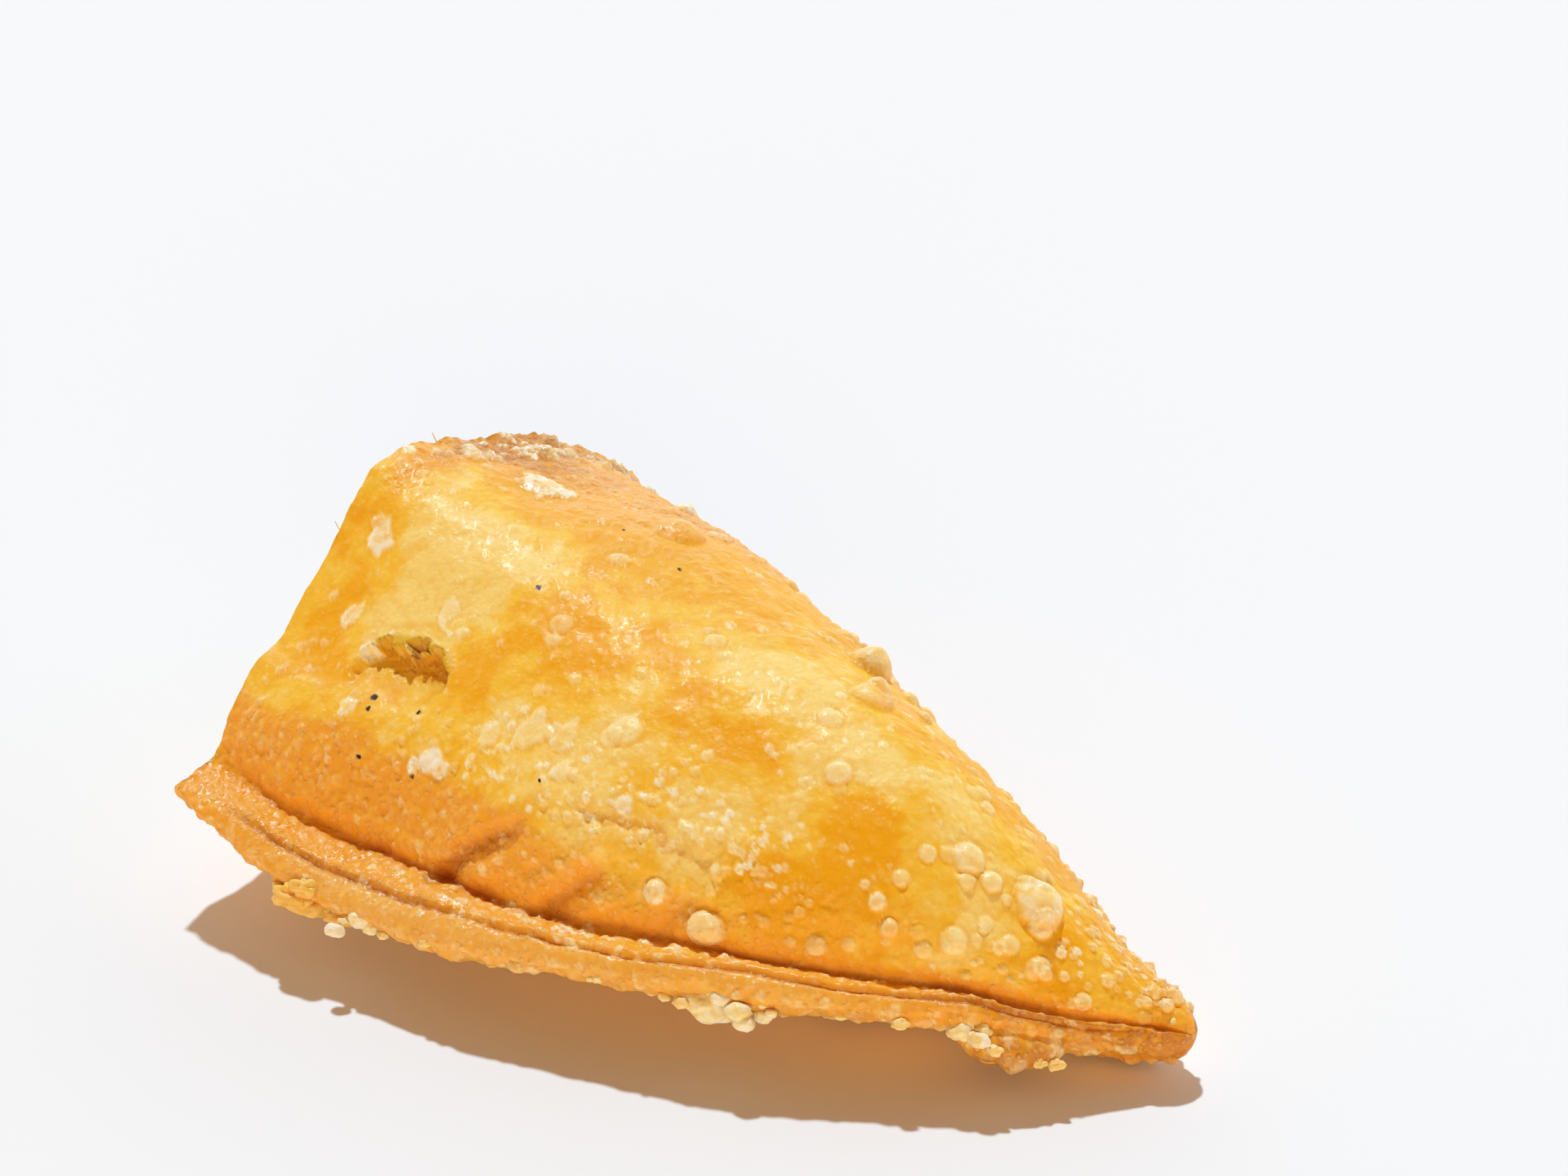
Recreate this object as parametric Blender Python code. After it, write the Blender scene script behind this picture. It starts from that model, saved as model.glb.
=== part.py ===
"""One half of a deep-fried turnover (an empanada), cut across with a knife.

A round of dough is folded over shredded chicken with peppers and pressed shut along a
curved seam, then fried. The half lies on its belly: its cut end shows the filling, and
its other end is the turnover's closed tip.

Frame: +X runs along the seam's chord from the cut to the closed tip, +Y from the seam to
the fold, +Z up. The origin is the middle of the footprint's box, on the table.

The skin is lofted through sections. Each section stands on a line from the seam's edge to
the fold and runs once round the half: over the flange, over the crown to the fold, back
under the belly, and under the flange.
"""

import math

import bmesh
import bpy
import numpy as np
from mathutils import Matrix, Vector, noise

MM = 0.001

# --- driving dimensions -----------------------------------------------------------------

CUT_LENGTH = 50.8 * MM             # across the cut face, from the seam's edge to the fold
CUT_ANGLE = math.radians(70.6)     # between the seam's chord and the cut
DOUGH = 2.3 * MM                   # thickness of the fried dough
SEAM_SOLID = 2.4 * MM              # both layers pressed into one, behind the flange
GAP = 0.4 * MM                     # clearance between neighbouring pieces

# The outline on the table: two curves that start at the cut and meet at the closed tip.
SEAM_END = np.array([0.0, 0.0])
FOLD_END = CUT_LENGTH * np.array([math.cos(CUT_ANGLE), math.sin(CUT_ANGLE)])
SEAM_PULLS = np.array([[20.0, -14.3], [54.0, -11.0]]) * MM
FOLD_PULLS = np.array([[36.0, 31.0], [51.2, 15.0]]) * MM
TIP_SHARE = 0.94                   # share of the length after which the tip rounds off
TIP_SEAM_SIDE = np.array([66.7, -2.8]) * MM
TIP_FOLD_SIDE = np.array([68.1, 1.6]) * MM
TIP = np.array([69.6, -0.9]) * MM

# Sizes along the half, as (share of the length, millimetres).
SEAM_HEIGHT = [(0, 8.2), (0.06, 7.4), (0.2, 6.0), (0.45, 6.5), (0.7, 5.9), (0.88, 3.8), (0.96, 3.1), (1, 3.2)]
FOLD_HEIGHT = [(0, 8.0), (0.3, 8.0), (0.7, 5.6), (0.9, 3.8), (1, 3.2)]
CROWN_HEIGHT = [(0, 16.2), (0.06, 15.8), (0.2, 14.9), (0.4, 13.1), (0.6, 11.1), (0.75, 6.9), (0.93, 2.1), (1, 1.6)]
BELLY_DEPTH = [(0, 7.0), (0.3, 8.2), (0.6, 6.6), (0.8, 4.6), (0.9, 3.4), (1, 2.4)]
FLANGE_WIDTH = [(0, 3.8), (0.05, 3.9), (0.2, 5.1), (0.3, 4.2), (0.45, 3.1), (0.65, 2.6), (0.85, 1.5), (1, 1.3)]
FLANGE_THICKNESS = [(0, 2.6), (0.3, 2.7), (0.6, 2.4), (0.85, 2.1), (1, 2.0)]
FLANGE_DROOP = [(0, 0.0), (0.1, 0.5), (0.3, 0.8), (0.5, 0.4), (0.8, 0.0), (1, 0.0)]

# Heights of the flange at the cut, where its edge slants into a beak: over, then under.
BEAK_OVER = (0.20 * MM, 0.45 * MM)
BEAK_UNDER = (-2.3 * MM, -2.5 * MM, -1.1 * MM)
BEAK_SHARE = 0.1                   # length over which the beak turns into the rounded flange

# The section's shape, as (share of the body's width, share of the crown or belly height).
# The crown has a waist above the seam at the cut and is evenly puffed further along.
CUT_CROWN = [(0.02, 0.16), (0.055, 0.31), (0.10, 0.40), (0.15, 0.45), (0.21, 0.60), (0.28, 0.79),
             (0.34, 0.94), (0.40, 1.00), (0.48, 0.98), (0.56, 0.92), (0.65, 0.84), (0.745, 0.71),
             (0.83, 0.57), (0.90, 0.42), (0.96, 0.24)]
PUFFED_CROWN = [(0.02, 0.20), (0.055, 0.40), (0.10, 0.56), (0.15, 0.66), (0.21, 0.77), (0.28, 0.87),
                (0.34, 0.94), (0.40, 0.98), (0.48, 1.00), (0.56, 0.99), (0.65, 0.94), (0.745, 0.84),
                (0.83, 0.71), (0.90, 0.55), (0.96, 0.33)]
BELLY = [(0.96, -0.30), (0.88, -0.62), (0.75, -0.88), (0.5, -1.0), (0.25, -0.86), (0.10, -0.5), (0.04, -0.3)]
WAIST_SHARE = 0.3                  # length over which the cut's shape turns into the puffed one

# Columns of the skin in the section's four runs: flange, crown, belly, under the flange.
SKIN_COLUMNS = (4, 28, 18, 4)
SKIN_RINGS = 62
TIP_RINGS = 8
HOLLOW_COLUMNS = (15, 12)          # over and under, so half as many as the skin has
HOLLOW_RINGS = 14
HOLLOW_SHARE = 0.78                # share of the length that the filling reaches
SPLINE_STEPS = 10

# Relief of the skin. Places are (share of the length, share of the crown's run).
GROOVE_DEPTH = 0.7 * MM
GROOVE_FULL_WIDTH = 2.4 * MM       # width of the flange from which the groove has its full depth
WAVE_HEIGHT = 0.45 * MM
WAVE_LENGTH = 9 * MM
CRATER = dict(along=0.15, across=0.20, length=8.5 * MM, width=4.0 * MM, depth=1.1 * MM)
BLISTERS = [(0.111, 0.567, 2.4), (0.248, 0.642, 2.2), (0.217, 0.125, 1.8), (0.505, 0.040, 1.7),
            (0.785, 0.375, 2.2), (0.709, 0.342, 1.6), (0.501, 0.700, 2.1), (0.550, 0.558, 2.0),
            (0.572, 0.350, 1.5), (0.585, 0.683, 1.4)]      # with a radius in millimetres
BLISTER_RISE = 0.42                # height of a blister for one of its radius
CREASES = [((0.275, 0.045), (0.302, 0.067), (0.345, 0.112)), ((0.380, 0.045), (0.395, 0.058), (0.422, 0.090))]
CREASE_DEPTH = 0.6 * MM
CREASE_REACH = 1.1 * MM
KNUCKLE = dict(along=0.79, radius=4.2 * MM, rise=2.2 * MM)   # bulge that hangs under the seam

# The filling's cut face.
CRAG_SIZE = 3.2 * MM
CRAG_HEIGHT = 1.5 * MM
CRAG_RECESS = 0.9 * MM
CRAG_RINGS = 9

# Pieces in the cut face: place along the cut, height, then size along the cut, upright and
# into the filling, in millimetres, with a lean in degrees.
PIECES = {
    "green_piece_1": ((16.0, 11.6), (5.8, 3.8, 4.4), 14, "dark_green"),
    "green_piece_2": ((40.2, 10.3), (4.8, 2.8, 4.6), -12, "green"),
    "green_piece_3": ((41.0, 7.0), (4.8, 2.8, 4.6), -10, "green"),
    "green_piece_4": ((29.6, 17.6), (3.6, 2.7, 3.4), 25, "green"),
    "yellow_piece": ((27.0, 9.2), (9.6, 3.8, 4.8), 6, "yellow"),
    "red_piece_1": ((11.8, 10.8), (3.0, 2.0, 2.6), 20, "red"),
    "red_piece_2": ((31.5, 13.6), (2.8, 1.9, 2.6), -15, "red"),
    "orange_piece": ((35.6, 15.2), (2.3, 2.9, 2.4), 8, "orange"),
}
PIECE_BOXINESS = {"dark_green": 0.45, "green": 0.4, "yellow": 0.8, "red": 0.7, "orange": 0.7}
PROUD = 0.3 * MM                   # how far the pieces stand out of the cut face
POCKET_MOUTH = 3.0                 # stretch of a pocket's outer half, so that it opens past the cut
PIECE_SEGMENTS = 14
PIECE_RINGS = 8

# Colour (linear), roughness.
FINISHES = {
    "crust": ((0.78, 0.38, 0.07), 0.42),
    "filling": ((0.80, 0.62, 0.40), 0.55),
    "dark_green": ((0.05, 0.07, 0.02), 0.30),
    "green": ((0.20, 0.22, 0.03), 0.30),
    "yellow": ((0.83, 0.58, 0.13), 0.25),
    "red": ((0.60, 0.07, 0.03), 0.30),
    "orange": ((0.75, 0.24, 0.05), 0.35),
}


# --- curves -----------------------------------------------------------------------------

def along(stations, share):
    """Value of a smooth curve through (share, value) stations that never overshoots them."""
    xs, ys = (np.array(column, float) for column in zip(*stations))
    step = np.diff(xs)
    slope = np.diff(ys) / step
    tangent = np.concatenate([slope[:1], np.zeros(len(xs) - 2), slope[-1:]])
    for i in range(1, len(xs) - 1):
        if slope[i - 1] * slope[i] > 0:
            tangent[i] = 2 * slope[i - 1] * slope[i] / (slope[i - 1] + slope[i])
    k = min(int(np.searchsorted(xs, share, side="right")) - 1, len(step) - 1)
    t = (share - xs[k]) / step[k]
    return (ys[k] * (1 + 2 * t) * (1 - t) ** 2 + step[k] * tangent[k] * t * (1 - t) ** 2
            + ys[k + 1] * t * t * (3 - 2 * t) + step[k] * tangent[k + 1] * t * t * (t - 1))


def bezier(start, pulls, end, t):
    """Point of a cubic Bezier curve."""
    return (start * (1 - t) ** 3 + 3 * pulls[0] * t * (1 - t) ** 2
            + 3 * pulls[1] * t * t * (1 - t) + end * t ** 3)


def closed_spline(stations):
    """Catmull-Rom curve round the stations, closed, with SPLINE_STEPS points to a station."""
    points = np.asarray(stations, float)
    before, here, after, beyond = (np.roll(points, shift, 0)[:, None] for shift in (1, 0, -1, -2))
    t = np.arange(SPLINE_STEPS)[None, :, None] / SPLINE_STEPS
    curve = 0.5 * (2 * here + (after - before) * t
                   + (2 * before - 5 * here + 4 * after - beyond) * t ** 2
                   + (3 * here - before - 3 * after + beyond) * t ** 3)
    curve = curve.reshape(-1, 2)
    return np.vstack([curve, curve[:1]])


def evenly(curve, count):
    """Points at equal distances along a curve, without its last point."""
    reached = np.concatenate([[0], np.cumsum(np.linalg.norm(np.diff(curve, axis=0), axis=1))])
    wanted = np.linspace(0, reached[-1], count, endpoint=False)
    return np.column_stack([np.interp(wanted, reached, curve[:, k]) for k in range(2)])


# --- the half's sections ----------------------------------------------------------------

def outline(share):
    """The seam's edge and the fold's edge on the table, at a share of the length."""
    t = min(share / TIP_SHARE, 1.0)
    seam = bezier(SEAM_END, SEAM_PULLS, TIP_SEAM_SIDE, t)
    fold = bezier(FOLD_END, FOLD_PULLS, TIP_FOLD_SIDE, t)
    if share > TIP_SHARE:
        turn = (share - TIP_SHARE) / (1 - TIP_SHARE) * math.pi / 2
        middle = (seam + fold) / 2
        seam = middle + (seam - middle) * math.cos(turn) + (TIP - middle) * math.sin(turn)
        fold = middle + (fold - middle) * math.cos(turn) + (TIP - middle) * math.sin(turn)
    return seam, fold


def crown_shape(share):
    """Stations of the crown at a share of the length, waisted at the cut."""
    blend = min(share / WAIST_SHARE, 1.0)
    blend = blend * blend * (3 - 2 * blend)
    return [(q, cut * (1 - blend) + puffed * blend)
            for (q, cut), (_, puffed) in zip(CUT_CROWN, PUFFED_CROWN)]


def sizes_at(share):
    """Width, flange and heights of the section at a share of the length."""
    seam, fold = outline(share)
    width = max(float(np.linalg.norm(fold - seam)), 0.001 * MM)
    cap = math.cos(max(0.0, (share - TIP_SHARE) / (1 - TIP_SHARE)) * math.pi / 2)
    return dict(
        width=width,
        flange=min(along(FLANGE_WIDTH, share) * MM, 0.3 * width),
        half=min(along(FLANGE_THICKNESS, share) * MM / 2, 0.28 * width),
        droop=along(FLANGE_DROOP, share) * MM,
        crown=along(CROWN_HEIGHT, share) * MM * cap,
        belly=along(BELLY_DEPTH, share) * MM * cap,
    )


def stand_up(share, loop):
    """Turn a loop of (distance from the seam, height) into points of the half."""
    seam, fold = outline(share)
    width = max(float(np.linalg.norm(fold - seam)), 0.001 * MM)
    across = np.clip(loop[:, :1] / width, 0, 1)
    level = along(SEAM_HEIGHT, share) * MM * (1 - across) + along(FOLD_HEIGHT, share) * MM * across
    ground = seam + loop[:, :1] * (fold - seam) / width
    return np.hstack([ground, np.maximum(level + loop[:, 1:], 0.0)])


def skin_section(share, columns=SKIN_COLUMNS):
    """Points round the outside of the half at a share of the length."""
    size = sizes_at(share)
    flange, half, droop, width = size["flange"], size["half"], size["droop"], size["width"]
    body = width - flange
    beak = 1 - min(share / BEAK_SHARE, 1.0)
    beak = beak * beak * (3 - 2 * beak)
    over = (0.8 * half - 0.85 * droop, half - 0.5 * droop)
    beneath = (-0.9 * half, -half - 0.5 * droop, -0.8 * half - 0.85 * droop)
    over = [plain + (slant - plain) * beak for plain, slant in zip(over, BEAK_OVER)]
    beneath = [plain + (slant - plain) * beak for plain, slant in zip(beneath, BEAK_UNDER)]
    stations = [(0, -droop), (0.15 * flange, over[0]), (0.5 * flange, over[1])]
    groove = len(stations)
    stations += [(flange, 0.75 * half)]
    stations += [(flange + body * q, size["crown"] * h) for q, h in crown_shape(share)]
    fold = len(stations)
    stations += [(width, 0)]
    stations += [(flange + body * q, size["belly"] * h) for q, h in BELLY]
    under = len(stations)
    stations += [(flange, beneath[0]), (0.5 * flange, beneath[1]), (0.15 * flange, beneath[2])]
    curve = closed_spline(stations)
    marks = [0, groove * SPLINE_STEPS, fold * SPLINE_STEPS, under * SPLINE_STEPS, len(curve) - 1]
    runs = [evenly(curve[a:b + 1], count) for a, b, count in zip(marks, marks[1:], columns)]
    return stand_up(share, np.vstack(runs))


def hollow_section(share, inset):
    """Points round the inside of the dough, or round the filling with a larger inset."""
    size = sizes_at(share)
    start = size["flange"] + SEAM_SOLID + inset - DOUGH
    body = size["width"] - inset - start
    over = [(start, 0)] + [(start + body * q, (size["crown"] - inset) * h) for q, h in crown_shape(share)]
    over += [(start + body, 0)]
    beneath = [(start + body, 0)] + [(start + body * q, (size["belly"] - inset) * h) for q, h in BELLY]
    beneath += [(start, 0)]
    runs = [evenly(np.array(run), count) for run, count in zip((over, beneath), HOLLOW_COLUMNS)]
    return stand_up(share, np.vstack(runs))


# --- relief of the skin -----------------------------------------------------------------

def grid_normals(grid):
    """Outward unit normals of a grid of rings, each ring closed."""
    round_it = np.roll(grid, -1, 1) - np.roll(grid, 1, 1)
    normals = np.cross(np.gradient(grid, axis=0), round_it)
    length = np.linalg.norm(normals, axis=2, keepdims=True)
    return normals / np.maximum(length, 1e-12)


def crown_point(grid, shares, place):
    """Point of the crown at (share of the length, share of the crown's run), and its ring."""
    ring = int(np.argmin(np.abs(shares - place[0])))
    column = SKIN_COLUMNS[0] + int(round(place[1] * SKIN_COLUMNS[1]))
    return grid[ring, column], ring


def distance_to_path(points, path):
    """Distance of each point to a path of straight pieces."""
    nearest = np.full(points.shape[:-1], np.inf)
    for start, end in zip(path, path[1:]):
        run = end - start
        t = np.clip((points - start) @ run / (run @ run), 0, 1)
        nearest = np.minimum(nearest, np.linalg.norm(points - start - t[..., None] * run, axis=-1))
    return nearest


def waves(grid):
    """Slow swells of the dough."""
    heights = [noise.noise(Vector(point / WAVE_LENGTH)) for point in grid.reshape(-1, 3)]
    return WAVE_HEIGHT * np.array(heights).reshape(grid.shape[:2])


def skin_relief(grid, shares):
    """Height of the relief at each point of the skin."""
    flange, crown, belly, _ = SKIN_COLUMNS
    relief = waves(grid)
    groove = GROOVE_DEPTH * np.minimum([sizes_at(share)["flange"] / GROOVE_FULL_WIDTH for share in shares], 1.0)
    relief[:, flange] -= groove
    relief[:, flange + crown + belly] -= groove
    centre, ring = crown_point(grid, shares, (CRATER["along"], CRATER["across"]))
    lengthwise = grid[ring + 1, flange + 6] - grid[ring - 1, flange + 6]
    lengthwise /= np.linalg.norm(lengthwise)
    away = grid - centre
    forward = away @ lengthwise
    sideways = np.linalg.norm(away - forward[..., None] * lengthwise, axis=2)
    reach = np.hypot(forward / (CRATER["length"] / 2), sideways / (CRATER["width"] / 2))
    relief -= CRATER["depth"] * np.clip(1.15 - reach, 0, 1)
    for *place, radius in BLISTERS:
        centre, _ = crown_point(grid, shares, place)
        reach = np.linalg.norm(grid - centre, axis=2) / (radius * MM)
        relief += BLISTER_RISE * radius * MM * np.clip(1 - reach ** 2, 0, 1)
    for crease in CREASES:
        path = [crown_point(grid, shares, place)[0] for place in crease]
        relief -= CREASE_DEPTH * np.clip(1 - distance_to_path(grid, path) / CREASE_REACH, 0, 1)
    ring = int(np.argmin(np.abs(shares - KNUCKLE["along"])))
    under = flange + crown + belly
    reach = np.linalg.norm(grid - grid[ring, under], axis=2) / KNUCKLE["radius"]
    beneath = np.zeros(grid.shape[1])
    beneath[under - belly // 2:] = np.sin(np.linspace(0, math.pi, len(beneath) - under + belly // 2))
    relief += KNUCKLE["rise"] * np.clip(1 - reach ** 2, 0, 1) * beneath
    return relief


# --- meshes -----------------------------------------------------------------------------

def add_object(name, bm, finish):
    """Link a mesh as a named object with its material, closed and facing out."""
    bm.normal_update()
    bmesh.ops.recalc_face_normals(bm, faces=bm.faces)
    if bm.calc_volume(signed=True) < 0:
        bmesh.ops.reverse_faces(bm, faces=bm.faces)
    mesh = bpy.data.meshes.new(name)
    bm.to_mesh(mesh)
    bm.free()
    mesh.shade_smooth()
    piece = bpy.data.objects.new(name, mesh)
    bpy.context.scene.collection.objects.link(piece)
    mesh.materials.append(material(finish))
    return piece


def material(finish):
    """The material of a finish, made once."""
    if finish in bpy.data.materials:
        return bpy.data.materials[finish]
    colour, roughness = FINISHES[finish]
    made = bpy.data.materials.new(finish)
    made.use_nodes = True
    shader = made.node_tree.nodes["Principled BSDF"]
    shader.inputs["Base Color"].default_value = (*colour, 1.0)
    shader.inputs["Roughness"].default_value = roughness
    return made


def add_rings(bm, grid):
    """Vertices of a grid of closed rings, joined ring to ring by quads."""
    rings = [[bm.verts.new(point) for point in ring] for ring in grid]
    for first, second in zip(rings, rings[1:]):
        for k in range(len(first)):
            n = (k + 1) % len(first)
            bm.faces.new((first[k], first[n], second[n], second[k]))
    return rings


def add_fan(bm, ring):
    """Close a ring with triangles to its middle."""
    middle = bm.verts.new(sum((vert.co for vert in ring), Vector()) / len(ring))
    for k in range(len(ring)):
        bm.faces.new((ring[k], ring[(k + 1) % len(ring)], middle))


def ring_shares():
    """Shares of the length at which the skin has its rings, closer together at the tip."""
    body = np.linspace(0, TIP_SHARE, SKIN_RINGS - TIP_RINGS, endpoint=False)
    return np.concatenate([body, np.linspace(TIP_SHARE, 0.995, TIP_RINGS)])


def cut_normal():
    """Direction that the cut face looks in."""
    return np.array([-math.sin(CUT_ANGLE), math.cos(CUT_ANGLE), 0.0])


def make_crust():
    """The dough: skin outside, hollow inside, open at the cut."""
    shares = ring_shares()
    grid = np.array([skin_section(share) for share in shares])
    normals = grid_normals(grid)
    offset = skin_relief(grid, shares)[..., None] * normals
    offset[0] -= (offset[0] @ cut_normal())[:, None] * cut_normal()
    grid = grid + offset
    grid[..., 2] = np.maximum(grid[..., 2], 0.0)
    inside = [hollow_section(share, DOUGH) for share in np.linspace(0, HOLLOW_SHARE, HOLLOW_RINGS)]

    bm = bmesh.new()
    skin = add_rings(bm, grid)
    add_fan(bm, skin[-1])
    hollow = add_rings(bm, inside)
    add_fan(bm, hollow[-1])
    outer, inner = skin[0], hollow[0]
    for k in range(len(inner)):
        n = (k + 1) % len(inner)
        bm.faces.new((outer[2 * k], outer[2 * k + 1], outer[(2 * k + 2) % len(outer)], inner[n], inner[k]))
    return add_object("crust", bm, "crust")


def crag(point):
    """Height of the filling's clumps above its recessed cut face."""
    nearest, _ = noise.voronoi(Vector(point / CRAG_SIZE), distance_metric="DISTANCE")
    return CRAG_HEIGHT * (1 - min(nearest[0] * 1.6, 1.0)) - CRAG_RECESS


def make_filling():
    """The chicken: it fills the hollow and shows a craggy face at the cut."""
    inset = DOUGH + GAP
    last = HOLLOW_SHARE - 0.012
    sides = np.array([hollow_section(share, inset) for share in np.linspace(0, last, HOLLOW_RINGS)])
    sides[0] -= CRAG_RECESS * cut_normal()
    middle = sides[0].mean(axis=0)
    face = []
    for step in range(1, CRAG_RINGS):
        flat = middle + (sides[0] - middle) * (1 - step / CRAG_RINGS)
        heights = np.array([crag(point) + CRAG_RECESS for point in flat])
        face.append(flat + heights[:, None] * cut_normal())
    bm = bmesh.new()
    rings = add_rings(bm, np.concatenate([face[::-1], sides]))
    add_fan(bm, rings[0])
    add_fan(bm, rings[-1])
    return add_object("filling", bm, "filling")


def superellipsoid(size, boxiness):
    """Mesh of a rounded piece: boxiness 1 is an ellipsoid, and smaller is squarer."""
    bm = bmesh.new()
    bmesh.ops.create_uvsphere(bm, u_segments=PIECE_SEGMENTS, v_segments=PIECE_RINGS, radius=1.0)
    for vert in bm.verts:
        round_axis = math.hypot(vert.co.x, vert.co.y)
        turn = math.atan2(vert.co.y, vert.co.x)
        rise = math.atan2(vert.co.z, round_axis)
        flat = abs(math.cos(rise)) ** boxiness
        vert.co.x = size[0] / 2 * flat * math.copysign(abs(math.cos(turn)) ** boxiness, math.cos(turn))
        vert.co.y = size[1] / 2 * flat * math.copysign(abs(math.sin(turn)) ** boxiness, math.sin(turn))
        vert.co.z = size[2] / 2 * math.copysign(abs(math.sin(rise)) ** boxiness, math.sin(rise))
    return bm


def piece_mesh(name):
    """Mesh of a piece in its place: its front is just proud of the cut face."""
    size = [length * MM for length in PIECES[name][1]]
    return put_in_cut(superellipsoid(size, PIECE_BOXINESS[PIECES[name][3]]), name)


def pocket_mesh(name):
    """Mesh of a piece's pocket: a gap all round, and open well past the cut face."""
    size = [length * MM + 2 * GAP for length in PIECES[name][1]]
    bm = superellipsoid(size, PIECE_BOXINESS[PIECES[name][3]])
    for vert in bm.verts:
        if vert.co.z < 0:
            vert.co.z *= POCKET_MOUTH
    return put_in_cut(bm, name)


def put_in_cut(bm, name):
    """Move a piece's mesh to its place in the cut face."""
    (reach, height), size, lean, _ = PIECES[name]
    depth = size[2] * MM / 2 - PROUD
    cut = Vector((math.cos(CUT_ANGLE), math.sin(CUT_ANGLE), 0))
    inward = -Vector(cut_normal())
    place = reach * MM * cut + Vector((0, 0, height * MM)) + inward * depth
    axes = Matrix((cut, Vector((0, 0, 1)), inward)).transposed().to_4x4()
    bm.transform(Matrix.Translation(place) @ axes @ Matrix.Rotation(math.radians(lean), 4, "Z"))
    return bm


def seat_piece(filling, name):
    """A piece in the cut face, and its pocket in the filling."""
    finish = PIECES[name][3]
    cutter = add_object(name + "_pocket", pocket_mesh(name), finish)
    cutter.hide_render = True
    cutter.display_type = "WIRE"
    pocket = filling.modifiers.new(name, "BOOLEAN")
    pocket.operation = "DIFFERENCE"
    pocket.object = cutter
    pocket.solver = "MANIFOLD"     # the exact solver drops the whole filling on some pockets
    add_object(name, piece_mesh(name), finish)


def centre_on_footprint():
    """Move everything so that the middle of the footprint's box is the origin."""
    corners = np.array([vert.co for vert in bpy.data.objects["crust"].data.vertices])
    low, high = corners.min(axis=0), corners.max(axis=0)
    shift = Matrix.Translation((-(low[0] + high[0]) / 2, -(low[1] + high[1]) / 2, -low[2]))
    for piece in bpy.data.objects:
        piece.data.transform(shift)


def main():
    """Clear the scene and model the half."""
    for leftover in list(bpy.data.objects):
        bpy.data.objects.remove(leftover)
    make_crust()
    filling = make_filling()
    for name in PIECES:
        seat_piece(filling, name)
    centre_on_footprint()


main()
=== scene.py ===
"""Half of a deep-fried turnover, dressed: blistered dough round shredded chicken and peppers.

Every size is in millimetres in the turnover's own frame until a mesh is made: the origin is
the seam's edge at the cut, +X runs along the seam's chord to the closed tip, +Y to the fold,
+Z up. make_object() turns that into metres about the middle of the footprint.
"""

import logging
import math
from dataclasses import dataclass, field
from enum import Enum
from typing import Sequence

import bpy
import numpy as np
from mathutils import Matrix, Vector, noise


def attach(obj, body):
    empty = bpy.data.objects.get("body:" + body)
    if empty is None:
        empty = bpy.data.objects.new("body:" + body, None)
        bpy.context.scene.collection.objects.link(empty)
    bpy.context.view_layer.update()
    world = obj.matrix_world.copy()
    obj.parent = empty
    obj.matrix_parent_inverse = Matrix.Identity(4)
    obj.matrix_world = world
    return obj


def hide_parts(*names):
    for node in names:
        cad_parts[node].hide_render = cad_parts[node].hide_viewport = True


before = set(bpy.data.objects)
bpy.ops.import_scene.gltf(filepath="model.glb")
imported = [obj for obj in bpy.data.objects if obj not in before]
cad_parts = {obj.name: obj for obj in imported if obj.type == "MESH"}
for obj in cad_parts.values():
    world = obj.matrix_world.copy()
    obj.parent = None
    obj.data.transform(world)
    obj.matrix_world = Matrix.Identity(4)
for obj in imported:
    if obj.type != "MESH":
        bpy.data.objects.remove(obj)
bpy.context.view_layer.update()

LOG = logging.getLogger("turnover")
MM = 0.001
FOOTPRINT_MIDDLE = np.array([34.860, 19.065, 0.0])
UP = np.array([0, 0, 1.0])

Stations = Sequence[tuple[float, float]]
Colour = tuple[float, float, float]


class Run(Enum):
    """The four runs of the skin's section, in order round the half."""

    FLANGE = 0
    CROWN = 1
    BELLY = 2
    UNDER = 3


# --- curves and fields ------------------------------------------------------------------

def along(stations: Stations, share: float) -> float:
    """Value of a smooth curve through stations that never overshoots them.

    Args:
        stations: (share, value) pairs in order.
        share: Where the value is wanted.

    Returns:
        The curve's value there.
    """
    xs, ys = (np.array(column, float) for column in zip(*stations))
    step = np.diff(xs)
    slope = np.diff(ys) / step
    tangent = np.concatenate([slope[:1], np.zeros(len(xs) - 2), slope[-1:]])
    for i in range(1, len(xs) - 1):
        if slope[i - 1] * slope[i] > 0:
            tangent[i] = 2 * slope[i - 1] * slope[i] / (slope[i - 1] + slope[i])
    k = min(int(np.searchsorted(xs, share, side="right")) - 1, len(step) - 1)
    t = (share - xs[k]) / step[k]
    return float(ys[k] * (1 + 2 * t) * (1 - t) ** 2 + step[k] * tangent[k] * t * (1 - t) ** 2
                 + ys[k + 1] * t * t * (3 - 2 * t) + step[k] * tangent[k + 1] * t * t * (t - 1))


def straight(stations: Stations, share: np.ndarray) -> np.ndarray:
    """Values of straight lines through stations."""
    return np.interp(share, *zip(*stations))


def bezier(start: np.ndarray, pulls: np.ndarray, end: np.ndarray, t: float) -> np.ndarray:
    """Point at a share t of a cubic Bezier curve, with two pulls between its ends."""
    return (start * (1 - t) ** 3 + 3 * pulls[0] * t * (1 - t) ** 2
            + 3 * pulls[1] * t * t * (1 - t) + end * t ** 3)


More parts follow.
